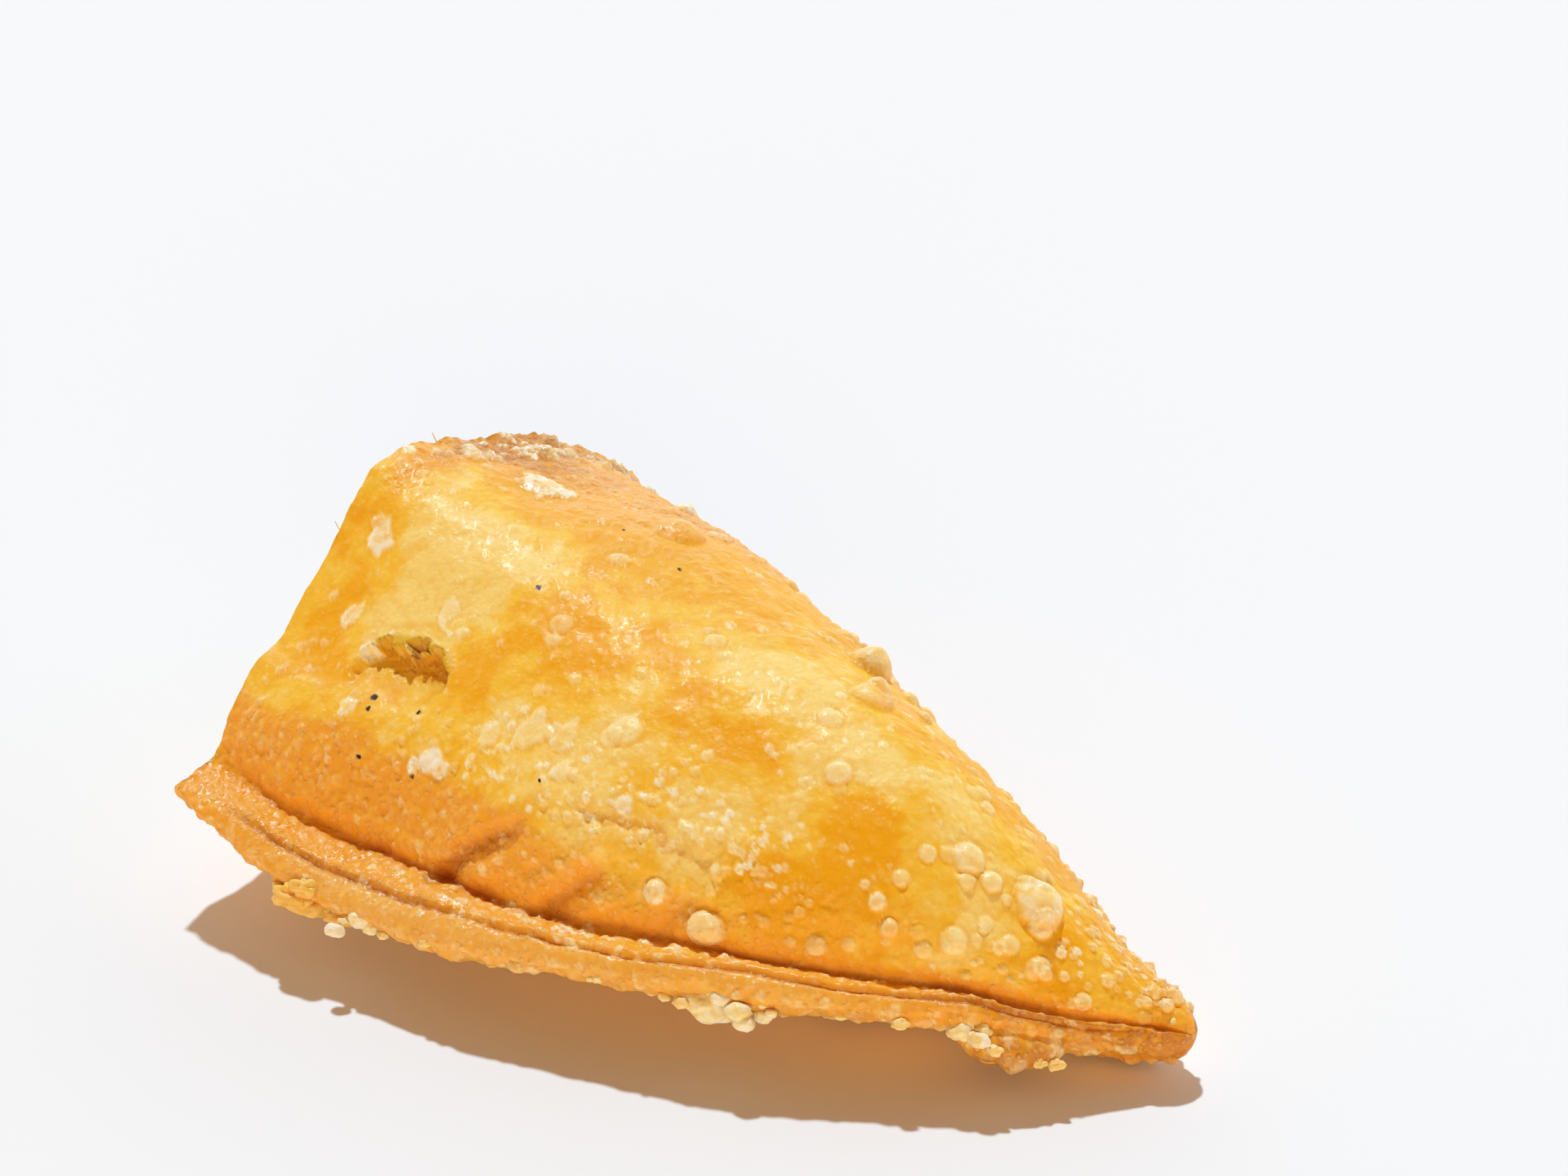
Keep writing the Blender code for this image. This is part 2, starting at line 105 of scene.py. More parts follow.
def closed_spline(stations: Sequence[Sequence[float]], steps: int = 10) -> np.ndarray:
    """Catmull-Rom curve round the stations, closed.

    Args:
        stations: The points that it goes through.
        steps: Points made to a station.

    Returns:
        The curve's points, the first repeated at the end.
    """
    points = np.asarray(stations, float)
    before, here, after, beyond = (np.roll(points, shift, 0)[:, None] for shift in (1, 0, -1, -2))
    t = np.arange(steps)[None, :, None] / steps
    curve = 0.5 * (2 * here + (after - before) * t
                   + (2 * before - 5 * here + 4 * after - beyond) * t ** 2
                   + (3 * here - before - 3 * after + beyond) * t ** 3)
    curve = curve.reshape(-1, 2)
    return np.vstack([curve, curve[:1]])


def sample(curve: np.ndarray, places: np.ndarray) -> np.ndarray:
    """Points of a curve at given shares of its length.

    Args:
        curve: Points of the curve.
        places: Shares of its length, 0 to 1.

    Returns:
        One point to a share.
    """
    reached = np.concatenate([[0], np.cumsum(np.linalg.norm(np.diff(curve, axis=0), axis=1))])
    wanted = np.asarray(places) * reached[-1]
    return np.column_stack([np.interp(wanted, reached, curve[:, k]) for k in range(curve.shape[1])])


def smooth(low: float, high: float, value: np.ndarray) -> np.ndarray:
    """Smooth step from 0 at low to 1 at high, where low may be the larger."""
    t = np.clip((value - low) / (high - low), 0, 1)
    return t * t * (3 - 2 * t)


def bump(value: np.ndarray, width: float) -> np.ndarray:
    """Bell curve of a distance."""
    return np.exp(-(value / width) ** 2)


def noise_field(points: np.ndarray, size: float, octaves: int = 1, seed: int = 0) -> np.ndarray:
    """Smooth noise of about -1 to 1 at each point.

    Args:
        points: Array of points, in millimetres.
        size: Size of the largest swells.
        octaves: How many finer layers are added.
        seed: Moves the noise, so that fields differ.

    Returns:
        The noise, in the shape of the points.
    """
    places = points.reshape(-1, 3) / size + 13.7 * seed
    if octaves == 1:
        values = [noise.noise(Vector(place)) for place in places]
    else:
        values = [noise.fractal(Vector(place), 0.9, 2.0, octaves) for place in places]
    return np.array(values).reshape(points.shape[:-1])


def cell_field(points: np.ndarray, size: float, seed: int = 0) -> tuple[np.ndarray, np.ndarray]:
    """Distance to the nearest and the second nearest of scattered centres.

    Args:
        points: Array of points, in millimetres.
        size: Distance between centres.
        seed: Moves the centres.

    Returns:
        Both distances as shares of the size.
    """
    places = points.reshape(-1, 3) / size + 7.9 * seed
    both = np.array([noise.voronoi(Vector(place), distance_metric="DISTANCE")[0][:2] for place in places])
    return both[:, 0].reshape(points.shape[:-1]), both[:, 1].reshape(points.shape[:-1])


def turn_flat(x: np.ndarray, y: np.ndarray, angle: float) -> tuple[np.ndarray, np.ndarray]:
    """Places turned in their plane by an angle."""
    return x * math.cos(angle) - y * math.sin(angle), x * math.sin(angle) + y * math.cos(angle)


def boxy(value: np.ndarray, power: float) -> np.ndarray:
    """Sine or cosine pushed outward, so that a globe of them turns boxy."""
    return np.sign(value) * np.abs(value) ** power


def distance_to_path(points: np.ndarray, path: Sequence[np.ndarray]) -> np.ndarray:
    """Distance of each point to a path of straight pieces.

    Args:
        points: Array of points.
        path: The path's corners.

    Returns:
        The distances, in the shape of the points.
    """
    nearest = np.full(points.shape[:-1], np.inf)
    for start, end in zip(path, path[1:]):
        run = end - start
        t = np.clip((points - start) @ run / (run @ run), 0, 1)
        nearest = np.minimum(nearest, np.linalg.norm(points - start - t[..., None] * run, axis=-1))
    return nearest


def grid_normals(grid: np.ndarray) -> np.ndarray:
    """Outward unit normals of a grid of closed rings."""
    normals = np.cross(np.gradient(grid, axis=0), np.roll(grid, -1, 1) - np.roll(grid, 1, 1))
    return normals / np.maximum(np.linalg.norm(normals, axis=2, keepdims=True), 1e-12)


# --- meshes -----------------------------------------------------------------------------

def in_metres(points: np.ndarray) -> np.ndarray:
    """Points of the turnover's own frame, in metres about the middle of the footprint."""
    return (np.asarray(points) - FOOTPRINT_MIDDLE) * MM


def place_object(name: str, data: bpy.types.ID) -> bpy.types.Object:
    """Put an object into the scene.

    Args:
        name: The object's name.
        data: Its mesh, lamp or camera.

    Returns:
        The object.
    """
    placed = bpy.data.objects.new(name, data)
    bpy.context.scene.collection.objects.link(placed)
    return placed


@dataclass
class MeshParts:
    """Points, faces and marks of a mesh in the making."""

    points: list[np.ndarray] = field(default_factory=list)
    faces: list[np.ndarray] = field(default_factory=list)
    marks: dict[str, list[np.ndarray]] = field(default_factory=dict)
    count: int = 0

    def add(self, points: np.ndarray, faces: np.ndarray, **marks: np.ndarray | float) -> int:
        """Add points and the faces between them.

        Args:
            points: Rows of points.
            faces: Rows of three or four numbers of those points.
            marks: Named values, one to a point or one for all.

        Returns:
            Number of the first point added.
        """
        first = self.count
        points = points.reshape(-1, 3)
        self.points.append(points)
        faces = np.asarray(faces)
        if faces.shape[1] == 3:
            faces = np.column_stack([faces, np.full(len(faces), -1 - first)])
        self.faces.append(faces + first)
        for name, value in marks.items():
            values = np.broadcast_to(np.asarray(value, float).reshape(-1), (len(points),))
            self.marks.setdefault(name, []).append(values)
        self.count += len(points)
        return first

    def cap(self, triangles: np.ndarray) -> None:
        """Add triangles between points that are there already."""
        self.faces.append(np.column_stack([triangles, np.full(len(triangles), -1)]))

    def add_closed(self, grid: np.ndarray, ends: np.ndarray | None = None, turned: bool = False,
                   **marks: np.ndarray | float) -> None:
        """Add a grid of rings, closed at both ends.

        Args:
            grid: Rings of points, one after another.
            ends: The two points that close it, or none for the middles of the end rings.
            turned: Whether its faces are turned round.
            marks: Named values, one to a point with the two ends last, or one for all.
        """
        rows, columns = grid.shape[:2]
        if ends is None:
            ends = np.vstack([grid[0].mean(axis=0), grid[-1].mean(axis=0)])
        faces = grid_faces(rows, columns)
        first = self.add(np.vstack([grid.reshape(-1, 3), ends]), faces[:, ::-1] if turned else faces, **marks)
        last = first + rows * columns
        self.cap(fan_faces(first, columns, last, turned))
        self.cap(fan_faces(last - columns, columns, last + 1, not turned))

    def make_object(self, name: str, finish: bpy.types.Material, node: str,
                    normals: np.ndarray | None = None) -> bpy.types.Object:
        """Make the object, dress it and tie it to the frame.

        Args:
            name: The piece's name.
            finish: Its material.
            node: The CAD node that it stands for.
            normals: Normal at each point, where a piece meets its neighbour smoothly.

        Returns:
            The object.
        """
        points = in_metres(np.vstack(self.points))
        faces = np.vstack(self.faces)
        sizes = np.where(faces[:, 3] < 0, 3, 4)
        loops = faces.reshape(-1)
        loops = loops[loops >= 0]
        mesh = bpy.data.meshes.new(name)
        mesh.vertices.add(len(points))
        mesh.vertices.foreach_set("co", points.astype(np.float32).ravel())
        mesh.loops.add(len(loops))
        mesh.loops.foreach_set("vertex_index", loops.astype(np.int32))
        mesh.polygons.add(len(faces))
        starts = np.concatenate([[0], np.cumsum(sizes)[:-1]])
        mesh.polygons.foreach_set("loop_start", starts.astype(np.int32))
        mesh.polygons.foreach_set("loop_total", sizes.astype(np.int32))
        mesh.update(calc_edges=True)
        mesh.validate()
        mesh.shade_smooth()
        for mark, values in self.marks.items():
            layer = mesh.attributes.new(mark, "FLOAT", "POINT")
            layer.data.foreach_set("value", np.concatenate(values).astype(np.float32))
        if normals is not None:
            mesh.normals_split_custom_set_from_vertices(normals.reshape(-1, 3))
        mesh.materials.append(finish)
        piece = place_object(name, mesh)
        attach(piece, "root")
        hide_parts(node)
        LOG.info("%s: %d points, %d faces", name, len(points), len(faces))
        return piece


def grid_faces(rows: int, columns: int, closed: bool = True) -> np.ndarray:
    """Quads of a grid whose rows lie one after another.

    Args:
        rows: Number of rows.
        columns: Points in a row.
        closed: Whether each row is a ring.

    Returns:
        Rows of four point numbers.
    """
    r = np.arange(rows - 1)[:, None]
    c = np.arange(columns if closed else columns - 1)[None, :]
    n = (c + 1) % columns
    quads = np.stack([r * columns + c, r * columns + n, (r + 1) * columns + n, (r + 1) * columns + c], -1)
    return quads.reshape(-1, 4)


def fan_faces(first: int, columns: int, middle: int, outward: bool = True) -> np.ndarray:
    """Triangles from a ring to its middle.

    Args:
        first: Number of the ring's first point.
        columns: Points in the ring.
        middle: Number of the middle point.
        outward: Whether the ring's order is kept.

    Returns:
        Rows of three point numbers.
    """
    c = np.arange(columns)
    n = (c + 1) % columns
    triangles = np.column_stack([first + c, first + n, np.full(columns, middle)])
    return triangles if outward else triangles[:, ::-1]


def globe(segments: tuple[int, int]) -> tuple[np.ndarray, np.ndarray]:
    """Angles of the points of a globe, without its poles.

    Args:
        segments: Points round it and points from pole to pole.

    Returns:
        The angle up and the angle round, each with a row to a ring.
    """
    turn = np.arange(segments[0]) / segments[0] * 2 * math.pi
    rise = np.linspace(-math.pi / 2, math.pi / 2, segments[1] + 2)[1:-1]
    rise, turn = np.meshgrid(rise, turn, indexing="ij")
    return rise, turn


# --- the half's shape -------------------------------------------------------------------

@dataclass(frozen=True)
class HalfShape:
    """Outline and sections of the half, the same as its solids have."""

    cut_length: float = 50.8
    cut_angle: float = math.radians(70.6)
    dough: float = 2.3
    seam_solid: float = 2.4
    seam_pulls: Stations = ((20.0, -14.3), (54.0, -11.0))
    fold_pulls: Stations = ((36.0, 31.0), (51.2, 15.0))
    tip_share: float = 0.94
    tip_seam_side: tuple[float, float] = (66.7, -2.8)
    tip_fold_side: tuple[float, float] = (68.1, 1.6)
    tip: tuple[float, float] = (69.6, -0.9)
    seam_height: Stations = ((0, 8.2), (0.06, 7.4), (0.2, 6.0), (0.45, 6.5), (0.7, 5.9), (0.88, 3.8),
                             (0.96, 3.1), (1, 3.2))
    fold_height: Stations = ((0, 8.0), (0.3, 8.0), (0.7, 5.6), (0.9, 3.8), (1, 3.2))
    crown_height: Stations = ((0, 16.2), (0.06, 15.8), (0.2, 14.9), (0.4, 13.1), (0.6, 11.1), (0.75, 6.9),
                              (0.93, 2.1), (1, 1.6))
    belly_depth: Stations = ((0, 7.0), (0.3, 8.2), (0.6, 6.6), (0.8, 4.6), (0.9, 3.4), (1, 2.4))
    flange_width: Stations = ((0, 3.8), (0.05, 3.9), (0.2, 5.1), (0.3, 4.2), (0.45, 3.1), (0.65, 2.6),
                              (0.85, 1.5), (1, 1.3))
    flange_thickness: Stations = ((0, 2.6), (0.3, 2.7), (0.6, 2.4), (0.85, 2.1), (1, 2.0))
    flange_droop: Stations = ((0, 0.0), (0.1, 0.5), (0.3, 0.8), (0.5, 0.4), (0.8, 0.0), (1, 0.0))
    cut_crown: Stations = ((0.02, 0.16), (0.055, 0.31), (0.10, 0.40), (0.15, 0.45), (0.21, 0.60),
                           (0.28, 0.79), (0.34, 0.94), (0.40, 1.00), (0.48, 0.98), (0.56, 0.92),
                           (0.65, 0.84), (0.745, 0.71), (0.83, 0.57), (0.90, 0.42), (0.96, 0.24))
    puffed_crown: Stations = ((0.02, 0.20), (0.055, 0.40), (0.10, 0.56), (0.15, 0.66), (0.21, 0.77),
                              (0.28, 0.87), (0.34, 0.94), (0.40, 0.98), (0.48, 1.00), (0.56, 0.99),
                              (0.65, 0.94), (0.745, 0.84), (0.83, 0.71), (0.90, 0.55), (0.96, 0.33))
    belly: Stations = ((0.96, -0.30), (0.88, -0.62), (0.75, -0.88), (0.5, -1.0), (0.25, -0.86),
                       (0.10, -0.5), (0.04, -0.3))
    beak_over: tuple[float, ...] = (0.20, 0.45)
    beak_under: tuple[float, ...] = (-2.3, -2.5, -1.1)
    beak_share: float = 0.1
    waist_share: float = 0.3
    hollow_share: float = 0.78

    def cut_direction(self) -> np.ndarray:
        """Direction along the cut, from the seam to the fold."""
        return np.array([math.cos(self.cut_angle), math.sin(self.cut_angle), 0.0])

    def cut_normal(self) -> np.ndarray:
        """Direction that the cut face looks in."""
        return np.array([-math.sin(self.cut_angle), math.cos(self.cut_angle), 0.0])

    def on_cut(self, reach: float, height: float, out: float = 0.0) -> np.ndarray:
        """Point at a reach along the cut and a height, or out of the cut plane."""
        return reach * self.cut_direction() + np.array([0, 0, height]) + out * self.cut_normal()

    def outline(self, share: float) -> tuple[np.ndarray, np.ndarray]:
        """The seam's edge and the fold's edge on the table at a share of the length.

        Args:
            share: Share of the length.

        Returns:
            Both points, on the table.
        """
        t = min(share / self.tip_share, 1.0)
        pulls = np.array(self.seam_pulls), np.array(self.fold_pulls)
        seam = bezier(np.zeros(2), pulls[0], np.array(self.tip_seam_side), t)
        fold = bezier(self.cut_length * self.cut_direction()[:2], pulls[1], np.array(self.tip_fold_side), t)
        if share > self.tip_share:
            turn = (share - self.tip_share) / (1 - self.tip_share) * math.pi / 2
            middle = (seam + fold) / 2
            reach = (np.array(self.tip) - middle) * math.sin(turn)
            seam = middle + (seam - middle) * math.cos(turn) + reach
            fold = middle + (fold - middle) * math.cos(turn) + reach
        return seam, fold

    def crown_shape(self, share: float) -> list[tuple[float, float]]:
        """Stations of the crown, waisted at the cut and puffed further along.

        Args:
            share: Share of the length.

        Returns:
            (share of the body's width, share of the height) pairs.
        """
        blend = smooth(0.0, self.waist_share, share)
        return [(q, cut * (1 - blend) + puffed * blend)
                for (q, cut), (_, puffed) in zip(self.cut_crown, self.puffed_crown)]

    def sizes(self, share: float) -> dict[str, float]:
        """Width, flange and heights of the section at a share of the length.

        Args:
            share: Share of the length.

        Returns:
            The sizes by name.
        """
        seam, fold = self.outline(share)
        width = max(float(np.linalg.norm(fold - seam)), 0.001)
        cap = math.cos(max(0.0, (share - self.tip_share) / (1 - self.tip_share)) * math.pi / 2)
        return dict(width=width,
                    flange=min(along(self.flange_width, share), 0.3 * width),
                    half=min(along(self.flange_thickness, share) / 2, 0.28 * width),
                    droop=along(self.flange_droop, share),
                    crown=along(self.crown_height, share) * cap,
                    belly=along(self.belly_depth, share) * cap)

    def stand_up(self, share: float, loop: np.ndarray) -> np.ndarray:
        """Turn a loop of (distance from the seam, height) into points of the half.

        Args:
            share: Share of the length.
            loop: Rows of distance and height.

        Returns:
            Rows of points.
        """
        seam, fold = self.outline(share)
        width = max(float(np.linalg.norm(fold - seam)), 0.001)
        across = np.clip(loop[:, :1] / width, 0, 1)
        level = along(self.seam_height, share) * (1 - across) + along(self.fold_height, share) * across
        ground = seam + loop[:, :1] * (fold - seam) / width
        return np.hstack([ground, np.maximum(level + loop[:, 1:], 0.0)])

    def skin(self, share: float, places: Sequence[np.ndarray]) -> np.ndarray:
        """Points round the outside of the half.

        Args:
            share: Share of the length.
            places: Shares of each run's length at which it has points.

        Returns:
            Rows of points.
        """
        size = self.sizes(share)
        flange, half, droop, width = size["flange"], size["half"], size["droop"], size["width"]
        body = width - flange
        beak = 1 - min(share / self.beak_share, 1.0)
        beak = beak * beak * (3 - 2 * beak)
        over = (0.8 * half - 0.85 * droop, half - 0.5 * droop)
        beneath = (-0.9 * half, -half - 0.5 * droop, -0.8 * half - 0.85 * droop)
        over = [plain + (slant - plain) * beak for plain, slant in zip(over, self.beak_over)]
        beneath = [plain + (slant - plain) * beak for plain, slant in zip(beneath, self.beak_under)]
        stations = [(0, -droop), (0.15 * flange, over[0]), (0.5 * flange, over[1])]
        groove = len(stations)
        stations += [(flange, 0.75 * half)]
        stations += [(flange + body * q, size["crown"] * h) for q, h in self.crown_shape(share)]
        fold = len(stations)
        stations += [(width, 0)]
        stations += [(flange + body * q, size["belly"] * h) for q, h in self.belly]
        under = len(stations)
        stations += [(flange, beneath[0]), (0.5 * flange, beneath[1]), (0.15 * flange, beneath[2])]
        curve = closed_spline(stations)
        stops = [0, groove * 10, fold * 10, under * 10, len(curve) - 1]
        runs = [sample(curve[a:b + 1], place) for a, b, place in zip(stops, stops[1:], places)]
        return self.stand_up(share, np.vstack(runs))

    def hollow(self, share: float, inset: float, over: np.ndarray, beneath: np.ndarray) -> np.ndarray:
        """Points round the inside of the dough, or round the filling with a larger inset.

        Args:
            share: Share of the length.
            inset: Distance in from the skin.
            over: Shares of the upper run's length at which it has points.
            beneath: The same for the lower run.

        Returns:
            Rows of points.
        """
        size = self.sizes(share)
        start = size["flange"] + self.seam_solid + inset - self.dough
        body = size["width"] - inset - start
        corners = (start, 0), (start + body, 0)
        crown = [(start + body * q, (size["crown"] - inset) * h) for q, h in self.crown_shape(share)]
        belly = [(start + body * q, (size["belly"] - inset) * h) for q, h in self.belly]
        upper = np.array([corners[0], *crown, corners[1]])
        lower = np.array([corners[1], *belly, corners[0]])
        return self.stand_up(share, np.vstack([sample(upper, over), sample(lower, beneath)]))


# --- finishes ---------------------------------------------------------------------------

class Bench:
    """Lays out the nodes of a material or of the room, and links them."""

    def __init__(self, holder: bpy.types.Material | bpy.types.World) -> None:
        """Start on a material or a room that has only its shader and output.

        Args:
            holder: The material or the room.
        """
        holder.use_nodes = True
        self.holder = holder
        self.nodes, self.links = holder.node_tree.nodes, holder.node_tree.links
        self.coordinates = self.nodes.new("ShaderNodeTexCoord").outputs

    def put(self, socket: bpy.types.NodeSocket, value: object) -> None:
        """Link a socket to another, or set it to a value.

        Args:
            socket: A node's input.
            value: A socket, a colour or a number.
        """
        if isinstance(value, bpy.types.NodeSocket):
            self.links.new(value, socket)
        elif isinstance(value, tuple) and len(value) == 3 and socket.type == "RGBA":
            socket.default_value = (*value, 1.0)
        else:
            socket.default_value = value

    def add(self, kind: str, inputs: dict[str | int, object], **settings: str) -> bpy.types.Node:
        """Add a node.

        Args:
            kind: Its type, without the first words.
            inputs: Sockets or values for its inputs, by name or number.
            settings: Its own settings.

        Returns:
            The node.
        """
        node = self.nodes.new("ShaderNode" + kind)
        for name, value in settings.items():
            setattr(node, name, value)
        for name, value in inputs.items():
            self.put(node.inputs[name], value)
        return node

    def mark(self, name: str) -> bpy.types.NodeSocket:
        """The value that the mesh carries under a name."""
        return self.add("Attribute", {}, attribute_name=name).outputs["Fac"]

    def noise(self, size: float, detail: float = 2.0, rough: float = 0.5,
              warp: float = 0.0) -> bpy.types.NodeSocket:
        """Noise about 0.5, with swells of a size in millimetres.

        Args:
            size: Size of the swells.
            detail: How many finer layers are added.
            rough: Strength of the finer layers.
            warp: How far the noise is pulled out of shape.

        Returns:
            The noise's socket.
        """
        inputs = {"Vector": self.coordinates["Object"], "Scale": 1000.0 / size, "Detail": detail,
                  "Roughness": rough, "Distortion": warp}
        return self.add("TexNoise", inputs).outputs["Fac"]

    def cells(self, size: float) -> bpy.types.NodeSocket:
        """Distance to the nearest of scattered centres, a size in millimetres apart."""
        return self.add("TexVoronoi", {"Vector": self.coordinates["Object"], "Scale": 1000.0 / size},
                        feature="SMOOTH_F1").outputs["Distance"]

    def math(self, operation: str, *values: object) -> bpy.types.NodeSocket:
        """Arithmetic on up to three values."""
        padded = (*values, 0.0, 0.0)[:3]
        return self.add("Math", dict(enumerate(padded)), operation=operation).outputs[0]

    def fit(self, value: object, low: float, high: float, to_low: float = 0.0,
            to_high: float = 1.0) -> bpy.types.NodeSocket:
        """A value smoothly stretched from one range to another."""
        return self.add("MapRange", {"Value": value, "From Min": low, "From Max": high, "To Min": to_low,
                                     "To Max": to_high}, interpolation_type="SMOOTHSTEP").outputs["Result"]

    def mix(self, share: object, first: object, second: object) -> bpy.types.NodeSocket:
        """Two colours mixed by a share.

        Args:
            share: Share of the second.
            first: A colour or its socket.
            second: The other one.

        Returns:
            The colour's socket.
        """
        node = self.add("Mix", {"Factor": share}, data_type="RGBA")
        ends = [socket for socket in node.inputs if socket.type == "RGBA"]
        for socket, given in zip(ends, (first, second)):
            self.put(socket, given)
        return next(socket for socket in node.outputs if socket.type == "RGBA")

    def relief(self, height: object, depth: float, strength: float = 1.0,
               under: bpy.types.NodeSocket | None = None) -> bpy.types.NodeSocket:
        """Normal of a fine relief, depth in millimetres, over another normal or none.

        Args:
            height: Height of the relief, 0 to 1.
            depth: Its depth.
            strength: How strongly it shows.
            under: Normal that it lies on.

        Returns:
            The normal's socket.
        """
        inputs = {"Height": height, "Distance": depth * MM, "Strength": strength}
        if under is not None:
            inputs["Normal"] = under
        return self.add("Bump", inputs).outputs["Normal"]

    def shade(self, **sockets: object) -> bpy.types.Material:
        """Set the shader's sockets, named with underscores for spaces, and hand the material over.

        Args:
            sockets: A value or a socket for each.

        Returns:
            The material.
        """
        for name, value in sockets.items():
            self.put(self.nodes["Principled BSDF"].inputs[name.replace("_", " ")], value)
        return self.holder


@dataclass(frozen=True)
class FriedSkin:
    """Blistered golden skin with amber patches, browned bands and dark folds, with painted shade in its
    creases and broken blister and painted highlights on its beads.
    """

    cream: Colour = (0.97, 0.70, 0.20)
    golden: Colour = (0.96, 0.57, 0.045)
    amber: Colour = (0.92, 0.43, 0.004)
    browned: Colour = (0.93, 0.41, 0.045)
    deep: Colour = (0.60, 0.21, 0.024)
    # Dark line colour: the groove's own darker line, and painted shade in the creases and under the broken
    # blister's lip.
    fold_line_and_shade: Colour = (0.48, 0.095, 0.003)
    thin: Colour = (0.72, 0.43, 0.012)
    edge: Colour = (0.93, 0.54, 0.16)
    # Pale colour of the beads' tops: partly paler blister skin, partly a painted highlight.
    pale_bead_and_highlight: Colour = (0.98, 0.70, 0.22)
    bubble: Colour = (0.99, 0.86, 0.50)
    flake: Colour = (0.96, 0.87, 0.68)
    speck: Colour = (0.03, 0.008, 0.002)

    def material(self) -> bpy.types.Material:
        """Make the material.

        Returns:
            The material.
        """
        bench = Bench(bpy.data.materials.new("fried_skin"))
        patches = bench.fit(bench.noise(6.0, 3.0, 0.55, 0.6), 0.34, 0.68)
        tone = bench.math("ADD", bench.mark("tone"), bench.math("MULTIPLY_ADD", patches, 1.1, -0.5))
        tone = bench.math("ADD", tone, bench.fit(bench.noise(2.6, 3.0, 0.6, 0.4), 0.32, 0.68, -0.38, 0.38))
        colour = bench.mix(bench.fit(tone, -0.9, 0.0), self.cream, self.golden)
        colour = bench.mix(bench.fit(tone, 0.0, 0.9), colour, self.amber)
        mottle = bench.noise(2.2, 4.0, 0.65)
        # The browning mark is real fry colour, with painted shade added round the creases and inside the
        # broken blister.
        browning_and_shade = bench.math("ADD", bench.mark("browning_and_shade"), bench.math("MULTIPLY_ADD", mottle, 0.7, -0.35))
        colour = bench.mix(bench.fit(browning_and_shade, 0.1, 0.75), colour, self.browned)
        # Darkest colour, where browning and painted shade pile up.
        colour = bench.mix(bench.fit(browning_and_shade, 0.85, 1.6), colour, self.deep)
        colour = bench.mix(bench.math("MULTIPLY", bench.mark("rim"), 0.62), colour, self.edge)
        pores = bench.cells(0.40)
        beads = bench.cells(0.75)
        coarse = bench.math("MULTIPLY", bench.fit(browning_and_shade, -0.1, 0.7, 0.24, 0.46),
                            bench.fit(bench.noise(1.6, 3.0, 0.6), 0.35, 0.6, 0.35, 1.15))
        # Painted highlight, partly real: the tops of the pores and of the raised beads turn paler.
        caps_and_highlight = bench.math("MULTIPLY", bench.fit(pores, 0.32, 0.05), coarse)
        colour = bench.mix(caps_and_highlight, colour, self.pale_bead_and_highlight)
        caps_and_highlight = bench.math("MULTIPLY", bench.math("MULTIPLY", bench.mark("grain"), coarse),
                          bench.fit(bench.noise(3.0, 2.0), 0.35, 0.65, 0.2, 1.0))
        colour = bench.mix(caps_and_highlight, colour, self.pale_bead_and_highlight)
        # Painted shade, partly real: the valleys between the pores turn amber.
        valleys_and_shade = bench.math("MULTIPLY", bench.fit(pores, 0.38, 0.62), coarse)
        colour = bench.mix(valleys_and_shade, colour, self.amber)
        colour = bench.mix(bench.mark("thin"), colour, self.thin)
        # A dark line: fried colour along the groove, painted shade in the creases and under the broken
        # blister's lip.
        colour = bench.mix(bench.mark("crease_and_shade"), colour, self.fold_line_and_shade)
        film = bench.math("MULTIPLY", bench.mark("blister"),
                          bench.fit(bench.noise(0.7, 3.0, 0.7), 0.3, 0.6, 0.6, 1.25))
        colour = bench.mix(film, colour, self.bubble)
        colour = bench.mix(bench.fit(film, 0.6, 1.0), colour, self.flake)
        colour = bench.mix(bench.mark("ring"), colour, self.amber)
        colour = bench.mix(bench.fit(bench.mark("speck"), 0.15, 0.5), colour, self.speck)
        crisp = bench.fit(browning_and_shade, -0.1, 0.6, 0.30, 0.80)
        normal = bench.relief(bench.fit(beads, 0.0, 0.6, 1.0, 0.0), 0.06, crisp)
        normal = bench.relief(bench.fit(pores, 0.0, 0.5, 1.0, 0.0), 0.09, crisp, normal)
        normal = bench.relief(bench.noise(0.22, 3.0, 0.7), 0.03, 0.6, normal)
        rough = bench.math("ADD", bench.fit(bench.noise(1.3, 3.0, 0.6), 0.35, 0.7, 0.27, 0.52),
                           bench.fit(browning_and_shade, 0.0, 0.6, 0.12, 0.0))
        rough = bench.math("MULTIPLY_ADD", film, -0.12, rough)
        return bench.shade(Base_Color=colour, Roughness=rough, Normal=normal, Specular_IOR_Level=0.24,
                           Coat_Weight=0.03, Coat_Roughness=0.15, Subsurface_Weight=0.10,
                           Subsurface_Radius=(1.0, 0.45, 0.12), Subsurface_Scale=0.0010)


